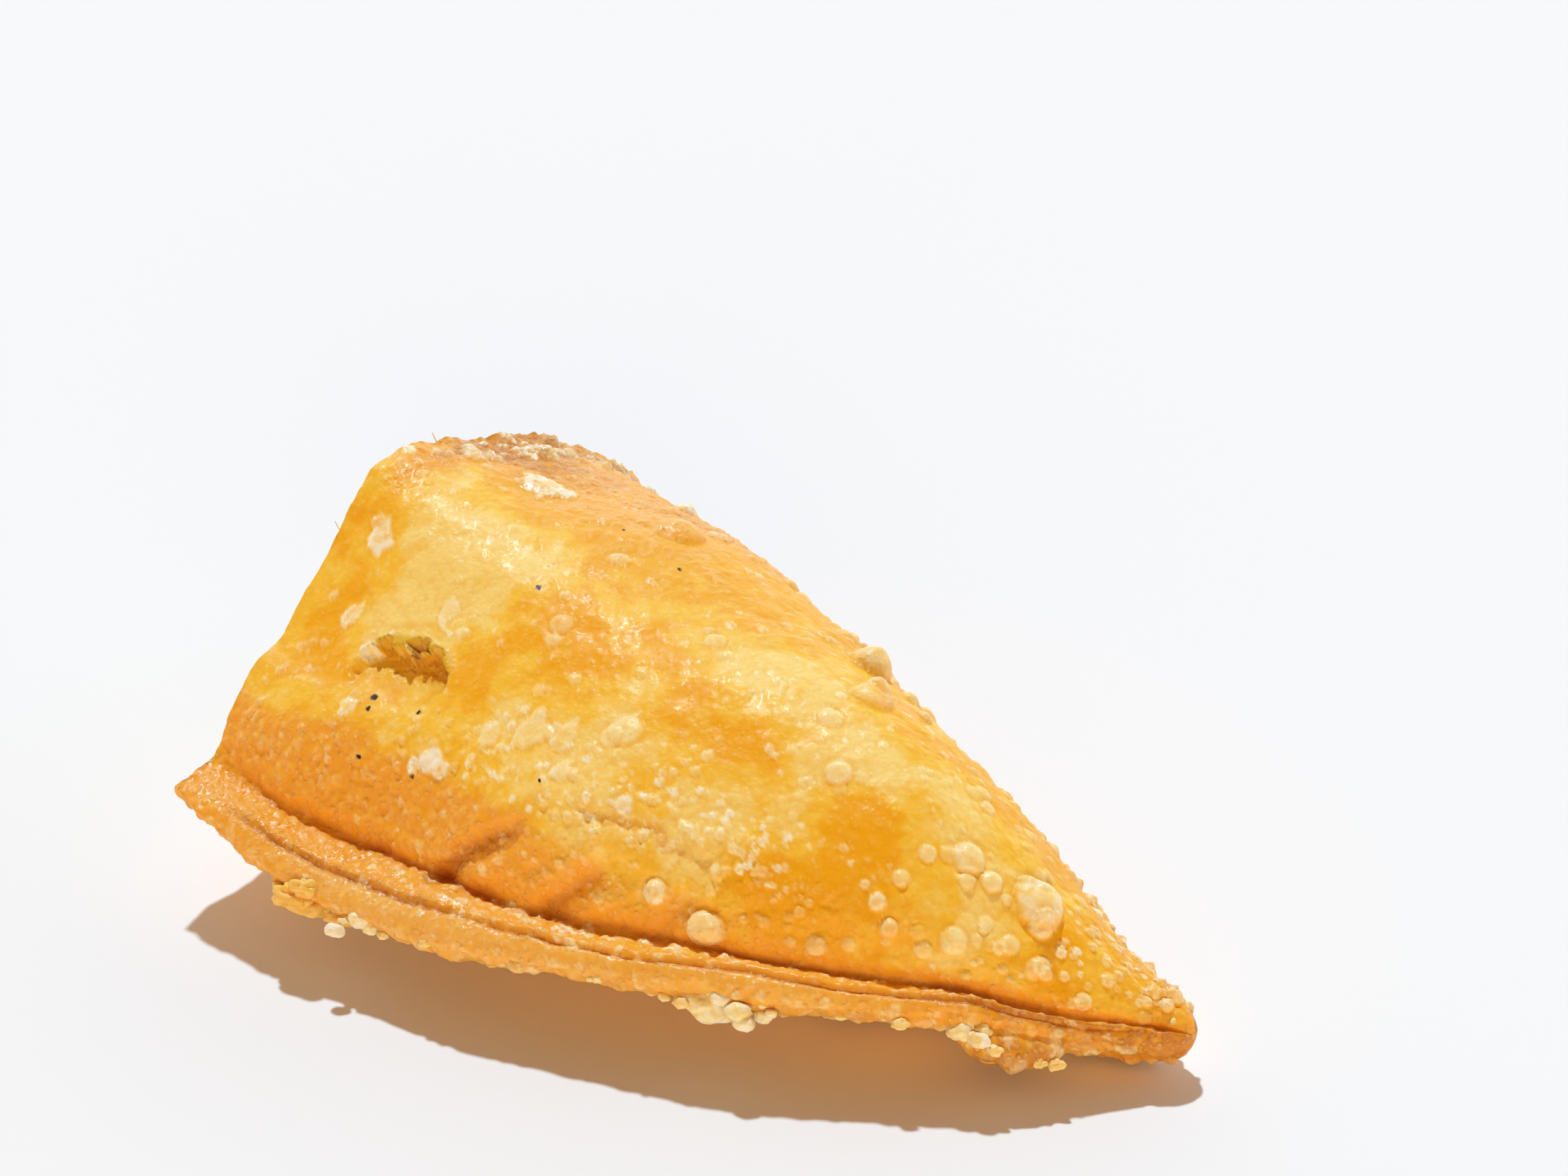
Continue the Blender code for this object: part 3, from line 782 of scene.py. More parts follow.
@dataclass(frozen=True)
class CutDough:
    """The dough's cut edge: pale layers parted by oily amber lines, with a thin browned skin."""

    pale: Colour = (0.95, 0.78, 0.42)
    cooked: Colour = (0.91, 0.62, 0.19)
    amber: Colour = (0.78, 0.38, 0.02)
    skin: Colour = (0.74, 0.32, 0.035)

    def material(self) -> bpy.types.Material:
        """Make the material.

        Returns:
            The material.
        """
        bench = Bench(bpy.data.materials.new("cut_dough"))
        depth = bench.mark("depth")
        wave = bench.noise(3.5, 3.0, 0.5)
        layers = bench.math("SINE", bench.math("MULTIPLY_ADD", wave, 9.0,
                                               bench.math("MULTIPLY", depth, 17.0)))
        colour = bench.mix(bench.fit(bench.noise(2.5, 3.0, 0.6), 0.35, 0.65), self.pale, self.cooked)
        colour = bench.mix(bench.fit(layers, 0.3, 1.0, 0.0, 0.25), colour, self.cooked)
        colour = bench.mix(bench.mark("gap"), colour, self.amber)
        colour = bench.mix(bench.fit(depth, 0.16, 0.02), colour, self.skin)
        colour = bench.mix(bench.fit(depth, 0.92, 1.02), colour, self.amber)
        fine = bench.noise(0.4, 3.0, 0.6)
        colour = bench.mix(bench.fit(fine, 0.55, 0.75, 0.0, 0.35), colour, self.pale)
        normal = bench.relief(layers, 0.03, 0.5)
        normal = bench.relief(fine, 0.12, 0.6, normal)
        return bench.shade(Base_Color=colour, Roughness=bench.fit(wave, 0.3, 0.7, 0.32, 0.5), Normal=normal,
                           Specular_IOR_Level=0.35, Subsurface_Weight=0.25,
                           Subsurface_Radius=(1.0, 0.6, 0.25), Subsurface_Scale=0.0015)


@dataclass(frozen=True)
class Chicken:
    """Moist torn chicken: creamy and tan, oily orange in the hollows, with painted shade at the bottom of the
    crevices.
    """

    pale: Colour = (1.0, 0.75, 0.36)
    tan: Colour = (0.95, 0.51, 0.16)
    mauve: Colour = (0.84, 0.42, 0.18)
    oily: Colour = (0.80, 0.33, 0.03)
    # Colour of painted shade at the bottom of the crevices.
    crevice_shade: Colour = (0.30, 0.10, 0.012)

    def material(self) -> bpy.types.Material:
        """Make the material.

        Returns:
            The material.
        """
        bench = Bench(bpy.data.materials.new("chicken"))
        broad = bench.noise(2.6, 4.0, 0.62)
        colour = bench.mix(bench.fit(broad, 0.42, 0.68), self.pale, self.tan)
        colour = bench.mix(bench.fit(bench.mark("tint"), 0.70, 1.0, 0.0, 0.8), colour, self.mauve)
        colour = bench.mix(bench.fit(bench.mark("tint"), 0.25, 0.0, 0.0, 0.8), colour, self.pale)
        # The deep mark is oily colour, partly real, that turns to painted shade where the mark runs high.
        oil_and_shade = bench.math("ADD", bench.mark("deep"), bench.fit(bench.noise(4.5, 2.0), 0.5, 0.8, -0.15, 0.35))
        colour = bench.mix(bench.fit(oil_and_shade, 0.05, 0.6), colour, self.oily)
        colour = bench.mix(bench.fit(oil_and_shade, 0.6, 1.1), colour, self.crevice_shade)
        fibre = bench.noise(0.34, 4.0, 0.7, 0.4)
        colour = bench.mix(bench.fit(fibre, 0.5, 0.25, 0.0, 0.45), colour, self.tan)
        return bench.shade(Base_Color=colour, Roughness=bench.fit(bench.noise(1.0), 0.3, 0.7, 0.36, 0.58),
                           Normal=bench.relief(fibre, 0.22, 0.9), Specular_IOR_Level=0.4,
                           Subsurface_Weight=0.2,
                           Subsurface_Radius=(1.0, 0.6, 0.3), Subsurface_Scale=0.001)


@dataclass(frozen=True)
class CookedVegetable:
    """Glossy cooked vegetable with fine ribs and a paler cut rim."""

    name: str
    flesh: Colour
    rib: Colour
    rim: Colour
    gloss: float = 0.16

    def material(self) -> bpy.types.Material:
        """Make the material.

        Returns:
            The material.
        """
        bench = Bench(bpy.data.materials.new(self.name))
        colour = bench.mix(bench.fit(bench.noise(1.8, 3.0, 0.55), 0.35, 0.68), self.flesh, self.rib)
        colour = bench.mix(bench.mark("rim"), colour, self.rim)
        fine = bench.noise(0.4, 3.0, 0.6)
        colour = bench.mix(bench.fit(fine, 0.55, 0.8, 0.0, 0.3), colour, self.rim)
        rough = bench.fit(fine, 0.3, 0.7, self.gloss, self.gloss + 0.2)
        return bench.shade(Base_Color=colour, Roughness=rough,
                           Normal=bench.relief(fine, 0.05, 0.5), Coat_Weight=0.4, Coat_Roughness=0.08,
                           Subsurface_Weight=0.2, Subsurface_Radius=(1.0, 0.8, 0.3), Subsurface_Scale=0.001)


@dataclass(frozen=True)
class PaleFloor:
    """Matt white table."""

    white: Colour = (0.93, 0.93, 0.94)
    shade: Colour = (0.925, 0.928, 0.94)

    def material(self) -> bpy.types.Material:
        """Make the material.

        Returns:
            The material.
        """
        bench = Bench(bpy.data.materials.new("pale_floor"))
        colour = bench.mix(bench.fit(bench.noise(90.0), 0.3, 0.7), self.white, self.shade)
        return bench.shade(Base_Color=colour, Roughness=0.9, Specular_IOR_Level=0.0)


# --- the crust --------------------------------------------------------------------------

# Marks carried by the skin's points; the dark line, browning and pale tops among them also hold painted shade
# and painted highlight.
SKIN_MARKS = ("tone", "browning_and_shade", "crease_and_shade", "blister", "ring", "speck", "rim", "thin", "grain")


@dataclass(frozen=True)
class Bubble:
    """A blister of the fried skin."""

    along: float
    across: float
    radius: float
    rise: float = 0.5
    white: float = 0.6
    ragged: float = 0.12
    run: Run = Run.CROWN


@dataclass(frozen=True)
class Patch:
    """A soft patch of another tone: amber above 0, cream below."""

    along: float
    across: float
    radius: float
    tone: float


@dataclass(frozen=True)
class Spread:
    """A region over which small bubbles are strewn."""

    run: Run
    along: tuple[float, float]
    across: tuple[float, float]
    radius: tuple[float, float]
    count: int
    white: float = 0.5
    rise: float = 0.45


@dataclass
class Skin:
    """The fried outside of the dough, from the cut to the closed tip."""

    shape: HalfShape
    finish: FriedSkin = FriedSkin()
    rings: int = 372
    tip_rings: int = 30
    columns: tuple[int, int, int, int] = (26, 226, 62, 20)
    lap: int = 7
    wave_height: float = 0.45
    wave_length: float = 9.0
    seed: int = 11
    groove: Stations = ((0, 0.2), (0.05, 0.45), (0.12, 1.0), (0.25, 1.15), (0.4, 0.85), (0.55, 0.8),
                        (0.8, 1.0), (0.95, 0.9), (1, 0.3))
    blisters: tuple[Bubble, ...] = tuple(Bubble(*row) for row in (
        (0.111, 0.567, 1.9, 0.16, 0.72, 0.5), (0.217, 0.125, 0.95, 0.14, 1.4, 0.4),
        (0.203, 0.112, 0.6, 0.2, 1.1, 0.6), (0.232, 0.120, 0.7, 0.2, 1.0, 0.6),
        (0.100, 0.215, 0.9, 0.12, 0.8, 0.7), (0.118, 0.140, 0.6, 0.2, 0.8, 0.6),
        (0.262, 0.190, 0.9, 0.12, 0.5, 0.7), (0.300, 0.215, 1.2, 0.10, 0.5, 0.8),
        (0.330, 0.225, 1.0, 0.12, 0.5, 0.7), (0.345, 0.180, 0.8, 0.15, 0.5, 0.7),
        (0.045, 0.330, 1.2, 0.12, 0.8, 0.7), (0.060, 0.240, 0.8, 0.12, 0.7, 0.7),
        (0.155, 0.300, 0.9, 0.10, 0.7, 0.8), (0.410, 0.170, 0.7, 0.2, 0.8, 0.5),
        (0.505, 0.033, 1.3, 0.60, 0.6), (0.785, 0.375, 1.75, 0.55, 0.65), (0.709, 0.342, 1.15, 0.55, 0.6),
        (0.736, 0.325, 0.75, 0.6, 0.6), (0.457, 0.067, 0.9, 0.6, 0.7), (0.501, 0.700, 1.5, 0.95, 0.55),
        (0.550, 0.558, 1.5, 0.50, 0.35), (0.545, 0.590, 1.1, 0.6, 0.5), (0.550, 0.733, 0.8, 0.6, 0.5),
        (0.585, 0.683, 0.65, 0.6, 0.5), (0.572, 0.350, 0.9, 0.35, 0.6), (0.248, 0.642, 1.9, 0.45, 0.15),
        (0.173, 0.775, 1.0, 0.7, 0.9), (0.395, 0.467, 0.8, 0.35, 0.5), (0.266, 0.358, 0.9, 0.30, 0.4),
        (0.253, 0.500, 0.8, 0.30, 0.5), (0.270, 0.333, 0.6, 0.3, 0.5), (0.599, 0.042, 0.7, 0.4, 0.5),
        (0.718, 0.125, 0.9, 0.45, 0.5), (0.692, 0.083, 0.6, 0.4, 0.5), (0.794, 0.300, 0.9, 0.5, 0.6),
        (0.381, 0.267, 1.2, 0.25, 0.5), (0.372, 0.250, 0.8, 0.25, 0.5), (0.457, 0.283, 0.45, 0.4, 0.6),
        (0.505, 0.333, 0.4, 0.4, 0.6), (0.512, 0.328, 0.35, 0.4, 0.6), (0.537, 0.442, 0.9, 0.3, 0.45),
    ))
    patches: tuple[Patch, ...] = tuple(Patch(*row) for row in (
        (0.492, 0.350, 4.2, 1.0), (0.412, 0.358, 3.4, 0.6), (0.355, 0.383, 3.6, 0.7),
        (0.319, 0.342, 3.4, 0.5), (0.621, 0.308, 2.9, 1.3), (0.612, 0.500, 1.9, 0.7),
        (0.607, 0.200, 4.2, 0.6), (0.235, 0.358, 3.8, 0.6), (0.288, 0.467, 3.6, 0.35),
        (0.177, 0.542, 5.5, 0.8), (0.217, 0.242, 3.2, 0.7), (0.062, 0.258, 3.4, 0.5),
        (0.497, 0.160, 4.0, -0.9), (0.540, 0.100, 3.5, 0.5), (0.643, 0.125, 5.5, 0.8),
        (0.030, 0.180, 3.5, 0.6), (0.840, 0.300, 4.0, 0.3), (0.150, 0.545, 3.5, 0.7),
        (0.730, 0.150, 4.0, -0.6), (0.151, 0.350, 4.4, -0.8), (0.208, 0.400, 3.4, -0.6),
        (0.474, 0.467, 5.0, -0.8), (0.403, 0.250, 4.8, -0.7), (0.532, 0.283, 2.8, -0.6),
        (0.665, 0.400, 5.0, -1.5), (0.093, 0.292, 4.4, -0.6), (0.346, 0.233, 3.2, -0.6),
        (0.560, 0.420, 4.0, -0.7), (0.120, 0.460, 4.2, -0.5), (0.600, 0.400, 2.6, -0.8),
        (0.300, 0.190, 3.6, -0.5),
    ))
    spreads: tuple[Spread, ...] = tuple(Spread(*row) for row in (
        (Run.CROWN, (0.62, 0.955), (0.03, 0.97), (0.22, 0.70), 150, 0.5, 0.38),
        (Run.CROWN, (0.25, 0.56), (0.12, 0.24), (0.18, 0.42), 190, 0.8, 0.30),
        (Run.CROWN, (0.80, 0.96), (0.25, 0.85), (0.18, 0.45), 90, 0.7, 0.45),
        (Run.FLANGE, (0.20, 0.55), (0.40, 0.95), (0.22, 0.45), 55, 0.6, 0.35),
        (Run.CROWN, (0.02, 0.60), (0.02, 0.20), (0.18, 0.42), 260, 0.35),
        (Run.CROWN, (0.004, 0.05), (0.42, 0.98), (0.35, 0.95), 70, 0.7),
        (Run.CROWN, (0.25, 0.96), (0.72, 1.00), (0.30, 1.00), 170, 0.4, 0.4),
        (Run.CROWN, (0.02, 0.62), (0.20, 0.75), (0.18, 0.50), 240, 0.45, 0.3),
        (Run.FLANGE, (0.01, 0.95), (0.05, 0.90), (0.16, 0.34), 130, 0.3, 0.3),
        (Run.FLANGE, (0.05, 0.95), (0.00, 0.12), (0.25, 0.55), 40, 0.4, 0.35),
        (Run.FLANGE, (0.30, 0.78), (0.74, 0.96), (0.14, 0.28), 120, 0.7, 0.4),
        (Run.BELLY, (0.01, 0.96), (0.02, 0.60), (0.35, 1.10), 230, 0.35, 0.4),
        (Run.BELLY, (0.01, 0.96), (0.60, 0.98), (0.30, 0.80), 90, 0.4, 0.4),
        (Run.UNDER, (0.05, 0.95), (0.30, 0.98), (0.30, 0.70), 90, 0.45, 0.4),
    ))
    creases: tuple[tuple[tuple[float, float], ...], ...] = (
        ((0.262, 0.004), (0.280, 0.040), (0.302, 0.067), (0.324, 0.092), (0.341, 0.108)),
        ((0.366, 0.004), (0.380, 0.030), (0.395, 0.058), (0.417, 0.083)),
        ((0.474, 0.030), (0.490, 0.070), (0.510, 0.083)),
        ((0.381, 0.142), (0.430, 0.150), (0.483, 0.125), (0.519, 0.133)),
    )
    crease_depths: tuple[float, ...] = (0.65, 0.6, 0.3, 0.3)
    crater: tuple[float, float] = (0.145, 0.205)
    crater_half: float = 3.9
    crater_depth: float = 1.05
    crater_lip: float = 0.22
    knuckle_share: float = 0.785
    knuckle_radius: float = 4.0
    knuckle_depth: float = 2.9
    lower_strip: Stations = ((0, 0.1), (0.08, 0.3), (0.18, 1.0), (0.34, 0.9), (0.6, 0.7), (0.72, 0.1))
    band: Stations = ((0, 0.075), (0.06, 0.10), (0.12, 0.118), (0.24, 0.125), (0.44, 0.075), (0.6, 0.05),
                      (0.7, 0.035), (0.8, 0.05), (1.0, 0.09))
    band_strength: Stations = ((0, 0.85), (0.2, 0.85), (0.3, 0.70), (0.42, 0.35), (0.6, 0.35), (0.8, 0.5),
                               (0.95, 0.7), (1.0, 0.85))
    crest: Stations = ((0, 0.44), (0.07, 0.52), (0.13, 0.62), (0.24, 0.68), (0.30, 0.75), (0.38, 0.78),
                       (0.6, 0.88), (0.8, 0.82), (1.0, 0.6))
    specks: tuple[tuple[float, float, float], ...] = (
        (0.222, 0.383, 0.22), (0.133, 0.167, 0.28), (0.137, 0.150, 0.2), (0.182, 0.175, 0.18),
        (0.205, 0.100, 0.16), (0.150, 0.095, 0.18), (0.330, 0.160, 0.13), (0.300, 0.560, 0.2),
        (0.220, 0.560, 0.18),
    )

    def __post_init__(self) -> None:
        """Lay out the plain grid and start its relief and marks."""
        body = np.linspace(0, self.shape.tip_share, self.rings - self.tip_rings, endpoint=False)
        self.shares = np.concatenate([body, np.linspace(self.shape.tip_share, 0.9985, self.tip_rings)])
        even = [np.arange(count) / count for count in self.columns]
        self.places = [even[0], 0.62 * even[1] + 0.38 * even[1] ** 2, even[2], even[3]]
        self.grid = np.array([self.shape.skin(share, self.places) for share in self.shares])
        self.starts = np.concatenate([[0], np.cumsum(self.columns)])
        self.height = np.zeros(self.grid.shape[:2])
        self.marks = {name: np.zeros(self.grid.shape[:2]) for name in SKIN_MARKS}
        self.draw = np.random.default_rng(self.seed)
        self.wobble = self.swell(1.3, 2, 50)
        step = np.linalg.norm(np.diff(self.grid, axis=1), axis=2)
        reached = np.concatenate([np.zeros((len(self.grid), 1)), np.cumsum(step, axis=1)], axis=1)
        self.from_groove = reached - reached[:, self.starts[1]][:, None]
        self.flange_reach = reached[:, self.starts[1]]

    def swell(self, size: float, octaves: int = 1, seed: int = 0) -> np.ndarray:
        """Smooth noise over the whole skin."""
        return noise_field(self.grid, size, octaves, seed)

    def find(self, place: tuple[float, float], run: Run = Run.CROWN) -> tuple[np.ndarray, int, int]:
        """A point of the skin.

        Args:
            place: Share of the length, and share of the run.
            run: The run that the second share is of.

        Returns:
            The point, and the nearest ring and column.
        """
        r = float(np.interp(place[0], self.shares, np.arange(len(self.shares))))
        first = self.starts[run.value]
        c = first + float(np.interp(place[1], self.places[run.value], np.arange(self.columns[run.value])))
        r0, c0 = min(int(r), len(self.shares) - 2), int(c)
        c1 = (c0 + 1) % self.grid.shape[1]
        u, v = r - r0, c - c0
        point = ((1 - u) * ((1 - v) * self.grid[r0, c0] + v * self.grid[r0, c1])
                 + u * ((1 - v) * self.grid[r0 + 1, c0] + v * self.grid[r0 + 1, c1]))
        return point, r0, c0

    def window(self, row: int, column: int, reach: float) -> tuple[slice, slice]:
        """Part of the grid round a vertex that holds everything within a reach of it.

        Args:
            row: The vertex's ring.
            column: Its column.
            reach: Distance from it.

        Returns:
            Slices of rings and of columns.
        """
        last_row, last_column = self.grid.shape[0] - 2, self.grid.shape[1] - 2
        row, column = min(row, last_row), min(column, last_column)
        long_step = max(float(np.linalg.norm(self.grid[row + 1, column] - self.grid[row, column])), 0.05)
        side_step = max(float(np.linalg.norm(self.grid[row, column + 1] - self.grid[row, column])), 0.05)
        rows, columns = int(reach / long_step * 1.4) + 2, int(reach / side_step * 1.4) + 2
        return (slice(max(row - rows, 0), row + rows + 1),
                slice(max(column - columns, 0), column + columns + 1))

    def raise_bubble(self, bubble: Bubble) -> None:
        """Raise one blister and mark its dome and its rim.

        Args:
            bubble: The blister.
        """
        centre, row, column = self.find((bubble.along, bubble.across), bubble.run)
        part = self.window(row, column, 1.5 * bubble.radius)
        reach = np.linalg.norm(self.grid[part] - centre, axis=2) / bubble.radius
        reach = reach * (1 + bubble.ragged * self.wobble[part])
        dome = np.clip(1 - reach ** 2, 0, 1) ** 0.8
        moat = 0.04 * bump(reach - 1.15, 0.16)
        self.height[part] += bubble.rise * bubble.radius * dome - bubble.radius * moat
        film = smooth(1.0, 0.8, reach) * (0.68 + 0.36 * smooth(0.1, 0.8, reach)) * bubble.white
        self.lift_mark("blister", part, np.minimum(film, 1.0))
        rim = bump(reach - 1.05, 0.13) * min(1.0, 0.25 + 0.3 * bubble.radius)
        self.lift_mark("ring", part, rim * 0.45)

    def strew(self, spread: Spread) -> None:
        """Raise many small bubbles over a region.

        Args:
            spread: The region and its bubbles.
        """
        for _ in range(spread.count):
            radius = spread.radius[0] + (spread.radius[1] - spread.radius[0]) * self.draw.random() ** 2.2
            place = [self.draw.uniform(*spread.along), self.draw.uniform(*spread.across)]
            white = spread.white * self.draw.uniform(0.3, 1.3)
            self.raise_bubble(Bubble(place[0], place[1], radius, spread.rise * self.draw.uniform(0.6, 1.2),
                                     min(white, 0.9), run=spread.run))

    def lift_mark(self, mark: str, part: tuple[slice, slice], value: np.ndarray) -> None:
        """Raise a mark to a value over part of the grid, where it is lower."""
        self.marks[mark][part] = np.maximum(self.marks[mark][part], value)

    def press_groove(self) -> None:
        """Press the fine line behind the flange and the one between the flange's two layers."""
        crease_and_shade, browning_and_shade, rim = (self.marks[name] for name in ("crease_and_shade", "browning_and_shade", "rim"))
        narrow = np.array([min(self.shape.sizes(share)["flange"] / 2.4, 1.0) for share in self.shares])
        strength = (narrow * [along(self.groove, share) for share in self.shares])[:, None]
        d = self.from_groove + 0.35 * self.swell(5.0, 2, 3)
        near = np.abs(self.from_groove) < 5
        faint = np.clip(0.72 + 0.75 * self.swell(6.0, 2, 4), 0.2, 1.0)
        self.height -= 0.20 * strength * bump(d, 0.36) * near
        self.height += 0.10 * strength * bump(d - 1.1, 0.7) * near
        left = 1 - 0.25 * smooth(0.3, 0.45, self.shares)[:, None]
        crease_and_shade += left * np.clip(strength * faint, 0, 1) * bump(d, 0.26) * near
        browning_and_shade += 0.55 * strength * faint * bump(d - 0.2, 0.8) * near
        reach = self.flange_reach[:, None]
        e = self.from_groove + 0.55 * reach + 0.3 * self.swell(4.5, 2, 5)
        level = (smooth(0.03, 0.12, self.shares) * smooth(0.97, 0.85, self.shares))[:, None]
        level = level * smooth(0.3, 0.0, self.from_groove)
        self.height -= 0.20 * level * bump(e, 0.19)
        self.height += 0.11 * level * bump(e - 0.38, 0.26)
        crease_and_shade += 0.60 * level * faint * bump(e, 0.16)
        browning_and_shade += 0.65 * level * bump(e - 0.1, 0.5)
        paler = straight(self.lower_strip, self.shares)[:, None]
        rim += paler * level * smooth(0.05, -0.45, e)
        rim[:, self.starts[3]:] = 0.7 * paler

    def press_creases(self) -> None:
        """Press the short creases that run up from the groove, with a dark line and a browner band along each
        that are partly painted shade.
        """
        crease_and_shade, browning_and_shade = (self.marks[name] for name in ("crease_and_shade", "browning_and_shade"))
        for path, depth in zip(self.creases, self.crease_depths):
            points = [self.find(place)[0] for place in path]
            _, row, column = self.find(path[len(path) // 2])
            part = self.window(row, column, 9.0)
            spot = self.grid[part] + 0.35 * noise_field(self.grid[part], 2.0, 2, 12)[..., None]
            reach = distance_to_path(spot, points)
            end = np.linalg.norm(self.grid[part] - points[-1], axis=2)
            fade = depth * smooth(0.0, 2.6, end)
            self.height[part] -= 0.75 * fade * bump(reach, 0.75)
            self.height[part] += 0.35 * fade * bump(reach - 1.5, 0.9)
            # Partly painted shade: a dark line in each of the creases and a browner band round it.
            crease_and_shade[part] += 0.5 * fade * bump(reach, 0.4)
            browning_and_shade[part] += 0.9 * fade * bump(reach, 1.1)

    def break_crater(self) -> None:
        """Break the burst blister open: a thin ragged lip over a bowl that rises to the skin below, with
        painted shade under the lip.
        """
        tone, browning_and_shade, crease_and_shade = (self.marks[name] for name in ("tone", "browning_and_shade", "crease_and_shade"))
        centre, row, column = self.find(self.crater)
        lengthwise = self.grid[row + 4, column] - self.grid[row - 4, column]
        upward = self.grid[row, column + 6] - self.grid[row, column - 6]
        part = self.window(row, column, 8.0)
        away = self.grid[part] - centre
        x = away @ lengthwise / np.linalg.norm(lengthwise)
        y = away @ upward / np.linalg.norm(upward)
        half = self.crater_half
        ragged = 0.9 * noise_field(self.grid[part], 1.1, 3, 8)
        lens = np.sqrt(np.clip(1 - (x / half) ** 2, 0, 1))
        top = 2.3 * lens ** 0.7 - 0.2 + ragged
        sides = smooth(half, half - 1.0, np.abs(x + 0.6 * ragged))
        inside = smooth(0.10, -0.12, y - top) * smooth(-4.2, -0.8, y + 0.8 * ragged) * sides
        bowl = smooth(-3.0, 1.6, y)
        self.height[part] -= self.crater_depth * inside * bowl
        lip = smooth(-0.05, 0.12, y - top) * smooth(1.15, 0.45, y - top + 0.6 * ragged) * sides
        self.height[part] += self.crater_lip * lip
        self.lift_mark("thin", part, 0.85 * lip)
        tone[part] += 0.35 * inside
        # Painted shade inside the bowl under the lip, stronger towards the tip, laid in as extra browning and
        # a dark line.
        shade = inside * smooth(-0.6, 1.3, y + 0.4 * ragged) * (0.45 + 0.55 * smooth(-2.6, 0.4, x))
        browning_and_shade[part] += 0.85 * shade
        self.lift_mark("thin", part, 0.45 * inside * smooth(-1.8, 0.6, y))
        crease_and_shade[part] += 0.28 * shade * bump(y - top + 0.4, 0.5)

    def tone_skin(self) -> None:
        """Lay the amber and cream patches, and darken the bands that fried darkest."""
        tone, browning_and_shade = (self.marks[name] for name in ("tone", "browning_and_shade"))
        warped = self.grid + 1.6 * np.stack([self.swell(3.6, 2, seed) for seed in (20, 21, 22)], -1)
        for patch in self.patches:
            centre, row, column = self.find((patch.along, patch.across))
            part = self.window(row, column, 2.4 * patch.radius)
            reach = np.linalg.norm(warped[part] - centre, axis=2)
            tone[part] += patch.tone * bump(reach, patch.radius)
        first, last = self.starts[1], self.starts[2]
        share = self.shares[:, None]
        swell = self.swell(5.0, 3, 30)
        across = np.zeros(self.grid.shape[:2])
        across[:, first:last] = self.places[1][None, :]
        across[:, last:] = 2.0
        on_crown = (across > 0) | (self.from_groove < 0)
        band, strength = straight(self.band, share), straight(self.band_strength, share)
        browning_and_shade += strength * on_crown * smooth(0.025, -0.02, across - band + 0.02 * swell)
        crest = straight(self.crest, share)
        browning_and_shade += (0.75 + 0.25 * swell) * smooth(-0.05, 0.10, across - crest + 0.05 * swell)
        browning_and_shade += 0.35 * smooth(1.5, 2.0, across) + 0.45 * smooth(0.80, 1.0, share)
        below_rim = bump(share - 0.028 - 0.006 * swell, 0.016) * smooth(0.36, 0.44, across)
        browning_and_shade += 0.8 * below_rim * (across < 1.5)
        tone += 0.25 * smooth(0.62, 0.9, share) + 0.75 * smooth(0.45, 0.6, across) * (across < 1.5)
        browning_and_shade += 0.15 * smooth(0.48, 0.6, across) * (across < 1.5) + 0.6 * smooth(0.965, 1.0, share)
        browning_and_shade += 0.5 * smooth(0.65, 0.8, share) * smooth(-0.3, -1.2, self.from_groove) * (across <= 0)
        browning_and_shade += 0.35 * bump(across - 0.6, 0.16) * smooth(0.4, 0.15, share) * (across < 1.5)
        tone += 1.0 * smooth(0.2, -0.3, self.from_groove) * (across < 1.5) * (across <= 0)

    def roughen(self) -> None:
        """Add the slow swells, the fine granular blistering and the ragged edges."""
        self.height += self.wave_height * self.swell(self.wave_length)
        self.height += 0.16 * self.swell(2.6, 3, 41)
        nearest, _ = cell_field(self.grid, 0.66, 42)
        beads = np.clip(1 - (nearest / 0.62) ** 2, 0, 1)
        # The raised beads' tops are marked so that the material paints them paler, partly as a painted
        # highlight.
        self.marks["grain"] = smooth(0.45, 0.95, beads)
        share = self.shares[:, None]
        coarse = np.clip(self.marks["browning_and_shade"], 0, 1) * (1 - 0.55 * smooth(0.3, 0.5, share))
        self.height += (0.05 + 0.10 * coarse) * (beads - 0.5)
        edge = self.from_groove + self.flange_reach[:, None]
        near_edge, at_edge = bump(edge, 0.9), bump(edge, 0.5)
        near_edge[:, self.starts[3]:] = 1.0
        at_edge[:, self.starts[3]:] = np.linspace(0, 1, self.columns[3]) ** 2
        self.height += 0.18 * near_edge * self.swell(2.4, 3, 43)
        self.height += 0.17 * at_edge * self.swell(0.8, 2, 45)
        rim = smooth(0.05, 0.0, share) * smooth(15, 22, self.from_groove)
        self.height += 0.35 * rim * self.swell(2.2, 3, 44)

    def hang_knuckle(self) -> None:
        """Bulge the belly down behind the flange near the tip."""
        ring = int(np.argmin(np.abs(self.shares - self.knuckle_share)))
        under, belly = self.starts[3], self.columns[2]
        middle = self.grid[ring, under + self.columns[3] // 3]
        reach = np.linalg.norm(self.grid - middle, axis=2) / self.knuckle_radius
        weight = np.zeros(self.grid.shape[1])
        weight[under - belly // 2:] = np.sin(np.linspace(0, math.pi, len(weight) - under + belly // 2)) ** 0.5
        bulge = np.clip(1 - reach ** 2, 0, 1) * weight
        self.height += self.knuckle_depth * bulge * (1 + 0.3 * self.swell(2.2, 2, 46))
        self.marks["browning_and_shade"] += 1.2 * bulge
        self.marks["rim"] *= 1 - np.clip(2 * bulge, 0, 1)

    def finished_grid(self) -> np.ndarray:
        """The grid with its whole relief, flat at the cut and on the table.

        Returns:
            The grid.
        """
        offset = self.height[..., None] * grid_normals(self.grid)
        normal = self.shape.cut_normal()
        hold = smooth(0.012, 0.0, self.shares)[:, None, None]
        offset = offset - hold * (offset @ normal)[..., None] * normal
        grid = self.grid + offset
        grid[..., 2] = np.maximum(grid[..., 2], 0.0)
        return grid

